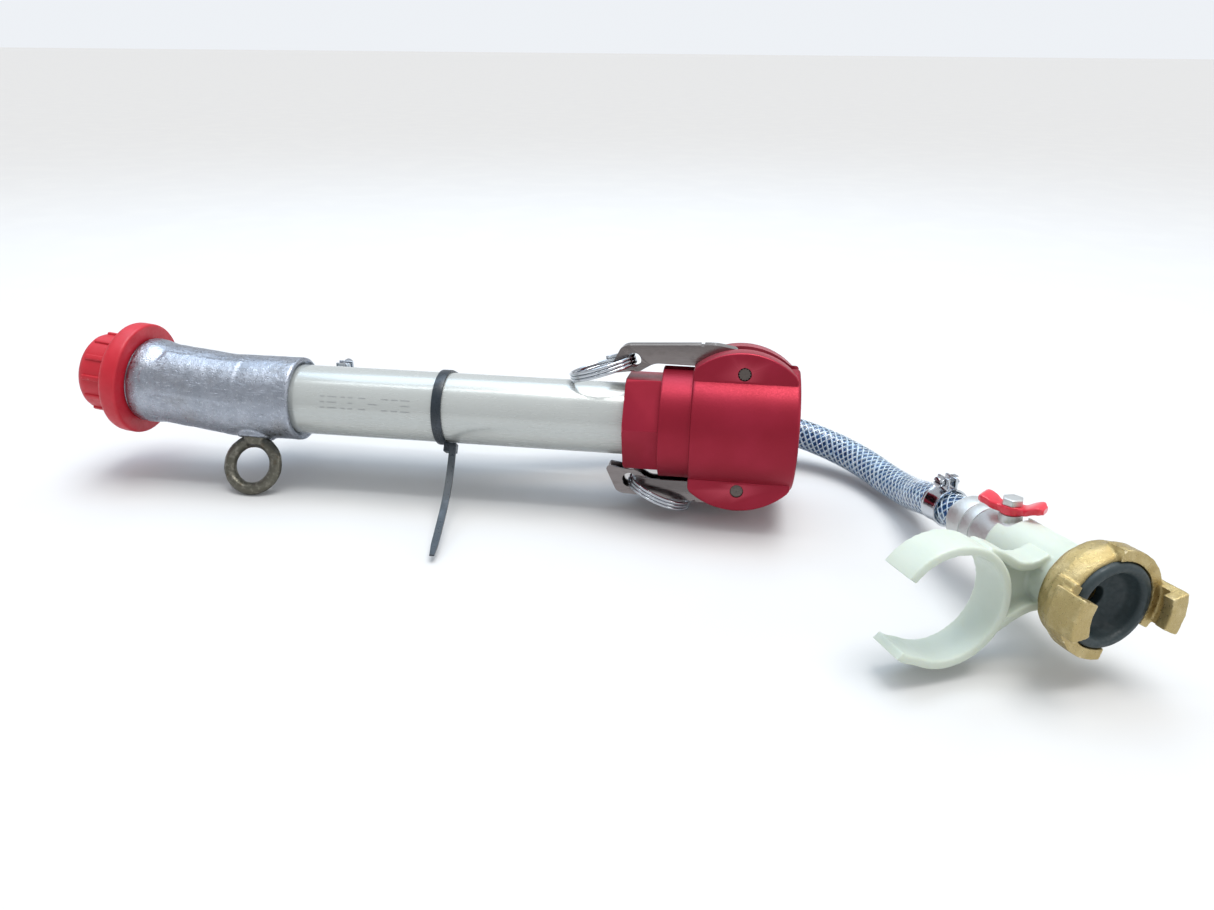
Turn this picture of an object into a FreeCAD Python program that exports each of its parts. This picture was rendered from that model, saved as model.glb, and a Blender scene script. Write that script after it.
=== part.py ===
import FreeCAD, Part
import math
import os

import Sketcher
from FreeCAD import Placement, Rotation, Vector

# A short spray lance. The origin is the centre of the coupling's mouth, +X points out of the mouth
# along the pipe axis, and +Z is up as the lance lies on the ground. Millimetres throughout.

SIZES = {
    # 1 inch pipe nipple
    "pipe_radius": 16.7,
    "pipe_bore": 13.3,
    "pipe_length": 200.0,
    "pipe_in_coupling": 25.0,
    "visible_pipe": 157.0,
    # cam-lock coupling
    "coupling_length": 77.2,
    "barrel_length": 46.5,
    "barrel_radius": 28.4,
    "collar_radius": 25.5,
    "hexagon_length": 15.2,
    "hexagon_flats": 41.0,
    "mouth_bore": 18.5,
    "mouth_land": 15.0,
    "relief_bore": 19.2,
    "bore_depth": 37.5,
    "gasket_radius": 20.0,
    "gasket_hole": 13.8,
    "gasket_length": 6.3,
    "ear_half_width": 17.6,
    "lobe_radius": 32.5,
    "lobe_offset": 3.2,
    "slot_half_width": 5.2,
    "slot_floor": 22.6,
    "cam_pin_radius": 2.9,
    "cam_pin_height": 26.3,
    "cam_pin_back": 24.5,
    "coupling_tilt": 10.0,
    # cam arms and pull rings
    "arm_width": 10.0,
    "arm_wall": 1.4,
    "ring_hole_radius": 3.3,
    "ring_radius": 14.4,
    "ring_wire": 0.75,
    # spray head
    "sleeve_radius": 20.0,
    "sleeve_length": 34.8,
    "head_bend": 7.0,
    "neck_radius": 19.4,
    "collar_bead": 20.8,
    "neck_length": 46.3,
    "thread_length": 5.8,
    "washer_length": 1.0,
    "thread_radius": 19.0,
    "head_bore": 13.3,
    "inlet_boss_radius": 9.0,
    "inlet_offset": 25.2,
    "inlet_drop": 2.0,
    # nozzle cap
    "flange_radius": 27.0,
    "flange_length": 9.2,
    "cap_radius": 18.4,
    "cap_length": 16.5,
    "rib_count": 12,
    "rib_height": 1.0,
    "rib_width": 1.9,
    "outlet_radius": 6.0,
    # eye bolt
    "eye_back": 257.0,
    "eye_drop": 33.6,
    "eye_lean": 31.0,
    "eye_major": 11.4,
    "eye_minor": 2.8,
    "eye_shank": 3.95,
    # air hose and its fittings
    "hose_radius": 7.5,
    "hose_bore": 4.5,
    "clamp_width": 9.0,
    "barb_bore": 2.8,
    "valve_radius": 10.2,
    "sleeve_outer": 12.4,
    # pole clip
    "clip_radius": 20.0,
    "clip_wall": 3.2,
    "clip_width": 15.2,
    "clip_reach": 49.0,
    "clip_drop": 1.5,
    # claw coupling
    "claw_disc_radius": 19.8,
    "claw_outer_radius": 23.0,
    "claw_forward": 9.2,
    "seal_radius": 16.0,
}

HEAD_FACE = -(SIZES["coupling_length"] + SIZES["visible_pipe"])
BEND_X = HEAD_FACE - SIZES["sleeve_length"]
CLAW_FRONT = Vector(98.0, -111.0, -10.0)
CLAW_AZIMUTH = -66.0
CLAW_ELEVATION = 5.0


def unit(azimuth, elevation):
    a = math.radians(azimuth)
    e = math.radians(elevation)
    return Vector(math.cos(a) * math.cos(e), math.sin(a) * math.cos(e), math.sin(e))


CLAW_AXIS = unit(CLAW_AZIMUTH, CLAW_ELEVATION)

# Centreline of the free air hose, from the head's air inlet to the valve.
HOSE_ROUTE = [
    Vector(-232.0, 25.2, -2.0),
    Vector(-202.0, 25.2, -2.0),
    Vector(-170.0, 25.0, -3.2),
    Vector(-137.0, 26.6, -5.6),
    Vector(-104.0, 31.0, -9.0),
    Vector(-73.8, 40.0, -12.2),
    Vector(-36.8, 56.4, -17.7),
    Vector(-2.5, 54.9, -23.1),
    Vector(27.2, 37.3, -30.8),
    Vector(46.0, 8.4, -33.6),
    CLAW_FRONT - CLAW_AXIS * 95.8,
    CLAW_FRONT - CLAW_AXIS * 76.5,
]

doc = FreeCAD.newDocument("spray_lance")
sheet = doc.addObject("Spreadsheet::Sheet", "Sizes")
nodes = []


def fill_sheet():
    for row, (alias, value) in enumerate(SIZES.items(), start=1):
        sheet.set(f"A{row}", alias)
        sheet.set(f"B{row}", str(value))
        sheet.setAlias(f"B{row}", alias)
    doc.recompute()


def cell(formula):
    """Turn bare size names in a formula into references to the sheet."""
    words = sorted(SIZES, key=len, reverse=True)
    out = formula
    for number, word in enumerate(words):
        out = out.replace(word, f"@{number}@")
    for number, word in enumerate(words):
        out = out.replace(f"@{number}@", f"Sizes.{word}")
    return out


def value(formula):
    """The number that a formula of size names comes to."""
    out = formula
    for word in sorted(SIZES, key=len, reverse=True):
        out = out.replace(word, repr(SIZES[word]))
    return FreeCAD.Units.Quantity(out).Value


# ---- frames -------------------------------------------------------------------------------------

def frame(base, x_axis, y_axis, z_axis):
    return Placement(base, Rotation(x_axis, y_axis, z_axis, "ZXY"))


TURNED_ALONG_X = Rotation(Vector(0, 1, 0), 90)
HEAD = Placement(Vector(BEND_X, 0, 0), Rotation(Vector(0, 1, 0), SIZES["head_bend"] - 90))
COUPLING = Placement(Vector(0, 0, 0), Rotation(Vector(1, 0, 0), -SIZES["coupling_tilt"]))
CLAW_RIGHT = Vector(0, 0, 1).cross(CLAW_AXIS).normalize()
CLAW_UP = CLAW_AXIS.cross(CLAW_RIGHT)
CLAW = frame(CLAW_FRONT, CLAW_RIGHT, CLAW_UP, CLAW_AXIS)
EYE_LEAN = math.radians(SIZES["eye_lean"])
EYE_DOWN = Vector(0, -math.sin(EYE_LEAN), -math.cos(EYE_LEAN))
EYE = frame(Vector(-SIZES["eye_back"], 0, 0), Vector(1, 0, 0), EYE_DOWN.cross(Vector(1, 0, 0)), EYE_DOWN)


def on_axis(x, y=0.0, z=0.0):
    """A frame whose own Z runs along +X."""
    return Placement(Vector(x, y, z), TURNED_ALONG_X)


def shifted(place, x=0.0, y=0.0, z=0.0):
    return place.multiply(Placement(Vector(x, y, z), Rotation()))


# ---- building blocks ----------------------------------------------------------------------------

def primitive(kind, name, place, **formulas):
    item = doc.addObject("Part::" + kind, name)
    item.Placement = place
    for key, formula in formulas.items():
        item.setExpression(key, cell(formula))
    return item


def cylinder(name, place, radius, height):
    return primitive("Cylinder", name, place, Radius=radius, Height=height)


def block(name, place, length, width, height):
    """A box centred on its frame in X and Y, rising along its Z."""
    item = primitive("Box", name, place, Length=length, Width=width, Height=height)
    doc.recompute()
    half = Vector(-item.Length.Value / 2, -item.Width.Value / 2, 0)
    item.Placement = place.multiply(Placement(half, Rotation()))
    return item


def cut(name, base, tools):
    tool = tools[0] if len(tools) == 1 else fuse(name + "_tools", tools)
    item = doc.addObject("Part::Cut", name)
    item.Base = base
    item.Tool = tool
    return item


def fuse(name, pieces):
    item = doc.addObject("Part::MultiFuse", name)
    item.Shapes = pieces
    item.Refine = True
    return item


def common(name, first, second):
    item = doc.addObject("Part::Common", name)
    item.Base = first
    item.Tool = second
    return item


def shaped(name, shape, place=None):
    item = doc.addObject("Part::Feature", name)
    item.Shape = shape
    if place is not None:
        item.Placement = place
    return item


def keep(item, label):
    item.Label = label
    nodes.append(item)
    return item


def turned(label, place, outline):
    """A lathe piece: a closed outline of (distance along Z, radius) formulas, revolved about Z."""
    body = doc.addObject("PartDesign::Body", "Body_" + label)
    sketch = body.newObject("Sketcher::SketchObject", "Outline_" + label)
    planes = [f for f in body.Origin.OriginFeatures if f.Role == "XZ_Plane"]
    sketch.AttachmentSupport = [(planes[0], "")]
    sketch.MapMode = "FlatFace"
    points = [Vector(value(r), value(z), 0) for z, r in outline]
    count = len(points)
    for i in range(count):
        sketch.addGeometry(Part.LineSegment(points[i], points[(i + 1) % count]), False)
    for i in range(count):
        sketch.addConstraint(Sketcher.Constraint("Coincident", i, 2, (i + 1) % count, 1))
    for i, (along, radius) in enumerate(outline):
        for kind, formula, number in (("DistanceX", radius, points[i].x), ("DistanceY", along, points[i].y)):
            if abs(number) < 1e-9:
                line = -2 if kind == "DistanceX" else -1
                sketch.addConstraint(Sketcher.Constraint("PointOnObject", i, 1, line))
                continue
            row = sketch.addConstraint(Sketcher.Constraint(kind, -1, 1, i, 1, number))
            sketch.setExpression(f"Constraints[{row}]", cell(formula))
    feature = body.newObject("PartDesign::Revolution", "Turn_" + label)
    feature.Profile = sketch
    feature.ReferenceAxis = (sketch, ["V_Axis"])
    feature.Angle = 360
    sketch.Visibility = False
    body.Placement = place
    doc.recompute()
    return body


def rounded(body, label, radius, chosen):
    """Fillet a body's circular edges that the test picks by (distance along Z, radius)."""
    tip = body.Tip
    names = []
    for number, edge in enumerate(tip.Shape.Edges, start=1):
        curve = edge.Curve
        if isinstance(curve, Part.Circle) and chosen(curve.Center.z, curve.Radius):
            names.append(f"Edge{number}")
    feature = body.newObject("PartDesign::Fillet", "Round_" + label)
    feature.Base = (tip, names)
    feature.setExpression("Radius", cell(radius))
    doc.recompute()
    return body


def near(a, b):
    return abs(a - b) < 0.05


# ---- pipe and coupling --------------------------------------------------------------------------

def build_pipe():
    start = -SIZES["coupling_length"] + SIZES["pipe_in_coupling"] - SIZES["pipe_length"]
    outer = cylinder("PipeOuter", on_axis(start), "pipe_radius", "pipe_length")
    inner = cylinder("PipeInner", on_axis(start - 1), "pipe_bore", "pipe_length + 2")
    keep(cut("Pipe", outer, [inner]), "pipe")


def build_coupling_body():
    hexagon_end = SIZES["hexagon_length"] - SIZES["coupling_length"]
    hexagon = primitive(
        "Prism", "Hexagon", COUPLING.multiply(on_axis(-SIZES["coupling_length"])),
        Circumradius="hexagon_flats / 2 / cos(30)", Height="hexagon_length")
    hexagon.Polygon = 6
    hexagon.Placement = hexagon.Placement.multiply(Placement(Vector(), Rotation(Vector(0, 0, 1), 90)))
    tapered = primitive(
        "Cone", "HexagonCorners", on_axis(-SIZES["coupling_length"]),
        Radius1="hexagon_flats / 2 + 1.2",
        Radius2="hexagon_flats / 2 + hexagon_length",
        Height="hexagon_length")
    nut = common("ChamferedHexagon", hexagon, tapered)
    barrel = turned("coupling_barrel", on_axis(hexagon_end), [
        ("0", "0"), ("0", "collar_radius"),
        ("coupling_length - hexagon_length - barrel_length", "collar_radius"),
        ("coupling_length - hexagon_length - barrel_length", "barrel_radius - 1"),
        ("coupling_length - hexagon_length - barrel_length + 1", "barrel_radius"),
        ("coupling_length - hexagon_length - 1.5", "barrel_radius"),
        ("coupling_length - hexagon_length", "barrel_radius - 1.5"),
        ("coupling_length - hexagon_length", "0"),
    ])
    lobes = []
    for side in (1, -1):
        centre = COUPLING.multiply(Placement(
            Vector(-SIZES["cam_pin_back"], -SIZES["ear_half_width"], side * SIZES["lobe_offset"]),
            Rotation(Vector(1, 0, 0), -90)))
        lobes.append(cylinder(f"LobeArc{side + 2}", centre, "lobe_radius", "ear_half_width * 2"))
    limits = block(
        "EarLimits", COUPLING.multiply(on_axis(-SIZES["barrel_length"])),
        "lobe_radius * 3", "ear_half_width * 2", "barrel_length - 1.5")
    ears = common("Ears", fuse("LobePair", lobes), limits)
    solid = fuse("CouplingSolid", [nut, barrel, ears])

    tools = [
        cylinder("PipeSocket", on_axis(-SIZES["coupling_length"] - 1), "pipe_radius", "pipe_in_coupling + 1"),
        cylinder("Throat", on_axis(-60), "pipe_bore", "60"),
        cylinder(
            "GasketSeat", on_axis(-SIZES["bore_depth"] - SIZES["gasket_length"]),
            "gasket_radius", "gasket_length"),
        cylinder("Relief", on_axis(-SIZES["bore_depth"]), "relief_bore", "bore_depth - mouth_land"),
        cylinder("Mouth", on_axis(-SIZES["mouth_land"]), "mouth_bore", "mouth_land + 1"),
    ]
    for side in (1, -1):
        outward = COUPLING.multiply(Placement(
            Vector(), Rotation(Vector(1, 0, 0), 0 if side == 1 else 180)))
        slot = block(
            f"ArmSlot{side + 2}", shifted(outward, -SIZES["barrel_length"] / 2, 0, SIZES["slot_floor"]),
            "barrel_length + 8", "slot_half_width * 2", "20")
        window = block(
            f"CamWindow{side + 2}",
            shifted(outward, -SIZES["cam_pin_back"] - 0.4, 0, SIZES["mouth_bore"] - 4),
            "19.4", "slot_half_width * 2", "12")
        pin_hole = cylinder(
            f"PinHole{side + 2}",
            outward.multiply(Placement(
                Vector(-SIZES["cam_pin_back"], -30, SIZES["cam_pin_height"]),
                Rotation(Vector(1, 0, 0), -90))),
            "cam_pin_radius", "60")
        tools += [slot, window, pin_hole]
    keep(cut("CouplingBody", solid, tools), "coupling_body")


def build_gasket():
    start = -SIZES["bore_depth"] - SIZES["gasket_length"]
    keep(turned("coupling_gasket", on_axis(start), [
        ("0", "gasket_hole"), ("0", "gasket_radius"),
        ("gasket_length", "gasket_radius"), ("gasket_length", "gasket_hole"),
    ]), "coupling_gasket")


def arm_side_profile():
    """The cam arm's side outline in the coupling's X and radial directions, pin at the cam head."""
    pin_x = -SIZES["cam_pin_back"]
    pin_z = SIZES["cam_pin_height"]
    head = 7.0
    points = [
        Vector(pin_x - 2.0, 0, pin_z + head + 1.6),
        Vector(pin_x - 13.0, 0, pin_z + 10.4),
        Vector(pin_x - 53.0, 0, pin_z + 8.4),
        Vector(pin_x - 55.6, 0, pin_z + 7.2),
        Vector(pin_x - 60.6, 0, pin_z - 3.0),
        Vector(pin_x - 59.6, 0, pin_z - 4.6),
        Vector(pin_x - 50.0, 0, pin_z - 3.2),
    ]
    belly = Vector(pin_x - 46.0, 0, pin_z - 3.0)
    waist = Vector(pin_x - 38.0, 0, pin_z + 0.9)
    root = Vector(pin_x - 7.0, 0, pin_z + 0.6)
    edges = [Part.LineSegment(points[i], points[i + 1]).toShape() for i in range(len(points) - 1)]
    edges.append(Part.Arc(points[-1], Vector(pin_x - 48.0, 0, pin_z - 3.6), belly).toShape())
    edges.append(Part.Arc(belly, Vector(pin_x - 42.5, 0, pin_z - 0.3), waist).toShape())
    edges.append(Part.LineSegment(waist, root).toShape())
    edges.append(Part.LineSegment(root, points[0]).toShape())
    return Part.Face(Part.Wire(edges))


def build_arm(label, side):
    """A folded lever with an eccentric cam head that turns on its pin."""
    pin_x = -SIZES["cam_pin_back"]
    pin_z = SIZES["cam_pin_height"]
    half = SIZES["arm_width"] / 2
    wall = SIZES["arm_wall"]
    face = arm_side_profile()
    lever = face.extrude(Vector(0, 2 * half, 0)).translated(Vector(0, -half, 0))
    hollow_face = Part.makePolygon([
        Vector(pin_x - 13.0, 0, pin_z + 10.4 - wall),
        Vector(pin_x - 52.8, 0, pin_z + 8.4 - wall),
        Vector(pin_x - 54.6, 0, pin_z + 7.2 - wall),
        Vector(pin_x - 60.0, 0, pin_z - 6.0),
        Vector(pin_x - 13.0, 0, pin_z - 6.0),
        Vector(pin_x - 13.0, 0, pin_z + 10.4 - wall),
    ])
    hollow = Part.Face(hollow_face).extrude(Vector(0, 2 * (half - wall), 0))
    hollow = hollow.translated(Vector(0, wall - half, 0))
    across = Vector(0, 1, 0)
    boss = Part.makeCylinder(7.0, 2 * half, Vector(pin_x, -half, pin_z), across)
    cam = Part.makeCylinder(5.4, 2 * half, Vector(pin_x, -half, pin_z - 3.4), across)
    pin_hole = Part.makeCylinder(SIZES["cam_pin_radius"] + 0.06, 20, Vector(pin_x, -10, pin_z), across)
    ring_hole = Part.makeCylinder(
        SIZES["ring_hole_radius"], 20, Vector(pin_x - 49.5, -10, pin_z + 1.8), across)
    shape = lever.cut(hollow).fuse([boss, cam]).removeSplitter().cut(pin_hole).cut(ring_hole)
    place = COUPLING.multiply(Placement(Vector(), Rotation(Vector(1, 0, 0), 0 if side == 1 else 180)))
    keep(shaped("Arm_" + label, shape, place), label)


def build_pins():
    for side, name in ((1, "upper"), (-1, "lower")):
        place = COUPLING.multiply(Placement(
            Vector(-SIZES["cam_pin_back"], -SIZES["ear_half_width"], side * SIZES["cam_pin_height"]),
            Rotation(Vector(1, 0, 0), -90)))
        keep(turned("cam_pin_" + name, place, [
            ("0", "0"), ("0", "cam_pin_radius - 0.5"), ("0.5", "cam_pin_radius"),
            ("ear_half_width * 2 - 0.5", "cam_pin_radius"),
            ("ear_half_width * 2", "cam_pin_radius - 0.5"), ("ear_half_width * 2", "0"),
        ]), "cam_pin_" + name)


def build_ring(label, side, swing):
    """A three-turn split ring through the arm's tip, turned by swing degrees about the hole."""
    wire = SIZES["ring_wire"]
    radius = SIZES["ring_radius"]
    turns = []
    for layer in (-1, 0, 1):
        turns.append(Part.makeTorus(radius, wire, Vector(0, 0, layer * wire * 1.96), Vector(0, 0, 1)))
    core = Part.makeCylinder(radius + 0.35, 4 * wire, Vector(0, 0, -2 * wire))
    core = core.cut(Part.makeCylinder(radius - 0.35, 5 * wire, Vector(0, 0, -2.5 * wire)))
    shape = turns[0].fuse(turns[1:] + [core]).removeSplitter()
    hole = Vector(-SIZES["cam_pin_back"] - 49.5, 0, side * (SIZES["cam_pin_height"] + 1.8))
    swung = Placement(hole, Rotation(Vector(0, 1, 0), swing))
    place = COUPLING.multiply(swung).multiply(Placement(Vector(-radius, 0, 0), Rotation()))
    keep(shaped("Ring_" + label, shape, place), label)


# ---- spray head ---------------------------------------------------------------------------------

def build_head():
    sleeve = cylinder("HeadSleeve", on_axis(BEND_X), "sleeve_radius", "sleeve_length")
    knuckle = primitive("Sphere", "HeadKnuckle", on_axis(BEND_X), Radius="sleeve_radius")
    neck = primitive(
        "Cone", "HeadNeck", HEAD,
        Radius1="sleeve_radius", Radius2="neck_radius", Height="neck_length - 12")
    bead_taper = primitive(
        "Cone", "HeadBeadTaper", shifted(HEAD, 0, 0, SIZES["neck_length"] - 12),
        Radius1="neck_radius", Radius2="collar_bead", Height="6")
    bead = cylinder(
        "HeadBead", shifted(HEAD, 0, 0, SIZES["neck_length"] - 6), "collar_bead", "5.6")
    thread = cylinder(
        "HeadThread", shifted(HEAD, 0, 0, SIZES["neck_length"] - 1), "thread_radius", "thread_length + 1")
    boss_x = HEAD_FACE - 26
    boss = cylinder(
        "InletBoss", on_axis(boss_x, SIZES["inlet_offset"], -SIZES["inlet_drop"]), "inlet_boss_radius", "22")
    boss_end = primitive(
        "Sphere", "InletBossEnd", on_axis(boss_x, SIZES["inlet_offset"], -SIZES["inlet_drop"]),
        Radius="inlet_boss_radius")
    web = block(
        "InletWeb", Placement(Vector(boss_x + 11, 14, -SIZES["inlet_drop"] - 7), Rotation()),
        "22", "20", "14")
    solid = fuse("HeadSolid", [sleeve, knuckle, neck, bead_taper, bead, thread, boss, boss_end, web])

    stop = SIZES["pipe_length"] - SIZES["pipe_in_coupling"] - SIZES["visible_pipe"]
    tools = [
        cylinder("HeadSocket", on_axis(HEAD_FACE - stop), "pipe_radius", "40"),
        primitive(
            "Cone", "HeadSocketChamfer", on_axis(HEAD_FACE - 1.2),
            Radius1="pipe_radius", Radius2="pipe_radius + 1.6", Height="1.6"),
        cylinder("HeadPassage", on_axis(BEND_X), "head_bore", "40"),
        primitive("Sphere", "HeadPassageBend", on_axis(BEND_X), Radius="head_bore"),
        cylinder("HeadOutlet", HEAD, "head_bore", "neck_length + thread_length + 1"),
        cylinder(
            "InletBore", on_axis(boss_x + 1, SIZES["inlet_offset"], -SIZES["inlet_drop"]), "4", "25"),
        primitive(
            "Cylinder", "InletCross",
            Placement(Vector(boss_x + 1, 5, -SIZES["inlet_drop"]), Rotation(Vector(1, 0, 0), -90)),
            Radius="4", Height="inlet_offset - 5"),
        cylinder("EyeThread", shifted(EYE, 0, 0, 14.6), "eye_shank", "12"),
    ]
    keep(cut("HeadCasting", solid, tools), "head_casting")


def build_air_tube():
    """Steel tube from the inlet's cross hole to the middle of the outlet."""
    x = HEAD_FACE - 25
    drop = SIZES["inlet_drop"]
    bend = 7.0
    along = Vector(-math.cos(math.radians(SIZES["head_bend"])), 0, math.sin(math.radians(SIZES["head_bend"])))
    start = Vector(x, SIZES["inlet_offset"] - 4.2, -drop)
    corner = Vector(x, 0, -drop)
    before = corner + Vector(0, bend, 0)
    after = corner + along * bend
    middle = corner + (Vector(0, 1, 0) + along) * bend * (1 - math.sqrt(0.5))
    end = corner + along * 64
    path = Part.Wire([
        Part.LineSegment(start, before).toShape(),
        Part.Arc(before, middle, after).toShape(),
        Part.LineSegment(after, end).toShape(),
    ])
    rings = [Part.Wire(Part.makeCircle(r, start, Vector(0, -1, 0))) for r in (4.0, 2.6)]
    pipes = [path.makePipeShell([ring], True, False) for ring in rings]
    keep(shaped("AirTube", pipes[0].cut(pipes[1])), "air_tube")


def build_nozzle():
    start = SIZES["neck_length"]
    cap = turned("nozzle_cap_body", shifted(HEAD, 0, 0, start), [
        ("0", "thread_radius + 0.06"),
        ("0", "flange_radius"),
        ("flange_length", "flange_radius"),
        ("flange_length", "cap_radius"),
        ("flange_length + cap_length", "cap_radius"),
        ("flange_length + cap_length", "outlet_radius + 1"),
        ("flange_length + cap_length - 3", "outlet_radius"),
        ("thread_length + 14", "outlet_radius"),
        ("thread_length + 14", "head_bore"),
        ("thread_length + washer_length", "head_bore"),
        ("thread_length + washer_length", "thread_radius + 0.06"),
    ])
    total = SIZES["flange_length"] + SIZES["cap_length"]
    rounded(
        cap, "flange", "3.6",
        lambda z, r: near(z, SIZES["flange_length"]) and near(r, SIZES["flange_radius"]))
    rounded(cap, "flange_back", "1.6", lambda z, r: near(z, 0) and near(r, SIZES["flange_radius"]))
    rounded(cap, "nose", "4.5", lambda z, r: near(z, total) and near(r, SIZES["cap_radius"]))
    ribs = []
    for i in range(int(SIZES["rib_count"])):
        turn = Placement(Vector(), Rotation(Vector(0, 0, 1), i * 360.0 / SIZES["rib_count"]))
        place = shifted(HEAD, 0, 0, start + SIZES["flange_length"] - 1).multiply(turn)
        ribs.append(block(
            f"Rib{i}", shifted(place, SIZES["cap_radius"] - 0.5),
            "rib_height * 2 + 1", "rib_width", "cap_length - 3"))
    keep(fuse("NozzleCap", [cap] + ribs), "nozzle_cap")
    keep(turned("nozzle_washer", shifted(HEAD, 0, 0, start + SIZES["thread_length"]), [
        ("0", "head_bore - 4"), ("0", "thread_radius - 1"),
        ("washer_length", "thread_radius - 1"), ("washer_length", "head_bore - 4"),
    ]), "nozzle_washer")
    insert_at = start + SIZES["thread_length"] + SIZES["washer_length"]
    keep(turned("nozzle_insert", shifted(HEAD, 0, 0, insert_at), [
        ("0", "head_bore - 3"), ("0", "head_bore - 0.02"),
        ("12.9", "head_bore - 0.02"), ("12.9", "outlet_radius - 1"), ("6", "outlet_radius - 1"),
    ]), "nozzle_insert")


def build_eye_bolt():
    ring = primitive(
        "Torus", "EyeRing",
        shifted(EYE, 0, 0, SIZES["eye_drop"]).multiply(Placement(Vector(), Rotation(Vector(1, 0, 0), 90))),
        Radius1="eye_major", Radius2="eye_minor")
    neck = primitive(
        "Cone", "EyeNeck", shifted(EYE, 0, 0, SIZES["sleeve_radius"] + 0.05),
        Radius1="eye_shank + 2", Radius2="eye_shank - 0.4", Height="3.4")
    shank = cylinder("EyeShank", shifted(EYE, 0, 0, 14.8), "eye_shank", "6.5")
    head = cylinder("EyeHeadClear", on_axis(BEND_X - 1), "sleeve_radius", "sleeve_length")
    keep(fuse("EyeBolt", [ring, cut("EyeNeckTrim", neck, [head]), shank]), "eye_bolt")


# ---- air hose -----------------------------------------------------------------------------------

def arc_path(points):
    """Straight runs joined by tangent arcs that are as large as the two runs allow."""
    edges = []
    length = 0.0
    radii = []
    cursor = points[0]
    for i in range(1, len(points) - 1):
        back = (points[i - 1] - points[i])
        ahead = (points[i + 1] - points[i])
        shorter = min(back.Length, ahead.Length)
        back.normalize()
        ahead.normalize()
        half_turn = (math.pi - back.getAngle(ahead)) / 2
        reach = 0.45 * shorter
        radius = reach / math.tan(half_turn)
        start = points[i] + back * reach
        end = points[i] + ahead * reach
        inward = (back + ahead).normalize()
        middle = points[i] + inward * (radius / math.cos(half_turn) - radius)
        edges.append(Part.LineSegment(cursor, start).toShape())
        edges.append(Part.Arc(start, middle, end).toShape())
        length += (start - cursor).Length + 2 * half_turn * radius
        radii.append(radius)
        cursor = end
    edges.append(Part.LineSegment(cursor, points[-1]).toShape())
    length += (points[-1] - cursor).Length
    return Part.Wire(edges), length, radii


def build_hose():
    path, length, radii = arc_path(HOSE_ROUTE)
    heading = HOSE_ROUTE[1] - HOSE_ROUTE[0]
    ring = Part.Wire(Part.makeCircle(SIZES["hose_radius"], HOSE_ROUTE[0], heading))
    bore = Part.Wire(Part.makeCircle(SIZES["hose_bore"], HOSE_ROUTE[0], heading))
    outer = path.makePipeShell([ring], True, False)
    inner = path.makePipeShell([bore], True, False)
    hose = outer.cut(inner)
    section = math.pi * (SIZES["hose_radius"] ** 2 - SIZES["hose_bore"] ** 2)
    print("hose length %.1f mm, bend radii" % length, [round(r) for r in radii])
    print("hose volume %.0f, section times length %.0f" % (hose.Volume, section * length))
    keep(shaped("AirHose", hose), "air_hose")


def hose_frame(end):
    """A frame on the hose's end face, its Z pointing out of the hose along the centreline."""
    tip, inner = (HOSE_ROUTE[0], HOSE_ROUTE[1]) if end == "head" else (HOSE_ROUTE[-1], HOSE_ROUTE[-2])
    outward = (tip - inner).normalize()
    side = Vector(0, 0, 1).cross(outward).normalize()
    return frame(tip, side, outward.cross(side), outward)


def build_hose_clamp(label, place, set_back):
    """A chrome band whose two upturned ears are drawn together by a screw."""
    at = shifted(place, 0, 0, -set_back)
    outer = cylinder(label + "Outer", at, "hose_radius + 0.9", "clamp_width")
    inner = cylinder(label + "Inner", shifted(at, 0, 0, -1), "hose_radius + 0.2", "clamp_width + 2")
    ears = block(label + "Ears", shifted(at, 0, 0, 1), "5.4", "hose_radius * 2 + 12", "clamp_width - 2")
    upper = block(label + "UpperHalf", shifted(at, 0, 13, -1), "20", "16", "clamp_width + 2")
    slit = block(label + "Slit", shifted(at, 0, 13, -1), "2.6", "16", "clamp_width + 2")
    blank = fuse(label + "Blank", [outer, common(label + "UpperEars", ears, upper)])
    across = Placement(
        Vector(-5.2, SIZES["hose_radius"] + 3.4, SIZES["clamp_width"] / 2), Rotation(Vector(0, 1, 0), 90))
    screw_place = at.multiply(across)
    screw_hole = cylinder(label + "ScrewHole", screw_place, "1.5", "12")
    keep(cut(label + "Band", blank, [inner, slit, screw_hole]), label + "_band")
    keep(turned(label + "_screw", screw_place, [
        ("0", "0"), ("0", "2.3"), ("2.4", "2.3"), ("2.4", "1.48"), ("9.5", "1.48"), ("9.5", "0"),
    ]), label + "_screw")


def build_head_barb():
    place = hose_frame("head")
    length_to_head = HOSE_ROUTE[0].x - (HEAD_FACE - 4)
    keep(turned("air_inlet_barb", place, [
        ("-18", "barb_bore"), ("-18", "3.6"), ("-16", "hose_bore - 0.05"), ("0", "hose_bore - 0.05"),
        ("0", "hose_bore + 0.5"), (f"{length_to_head:.1f}", "hose_bore + 0.5"),
        (f"{length_to_head:.1f}", "4"), (f"{length_to_head + 9:.1f}", "4"),
        (f"{length_to_head + 9:.1f}", "barb_bore"),
    ]), "air_inlet_barb")


# ---- valve, clip and claw coupling (all in the claw coupling's own frame) ------------------------

def claw_at(along, x=0.0, y=0.0):
    return shifted(CLAW, x, y, along)


HOSE_END = -76.5
STEM_AT = -50.0
LEVER_TURN = 33.0
CLIP_MIDDLE = -22.6


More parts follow.
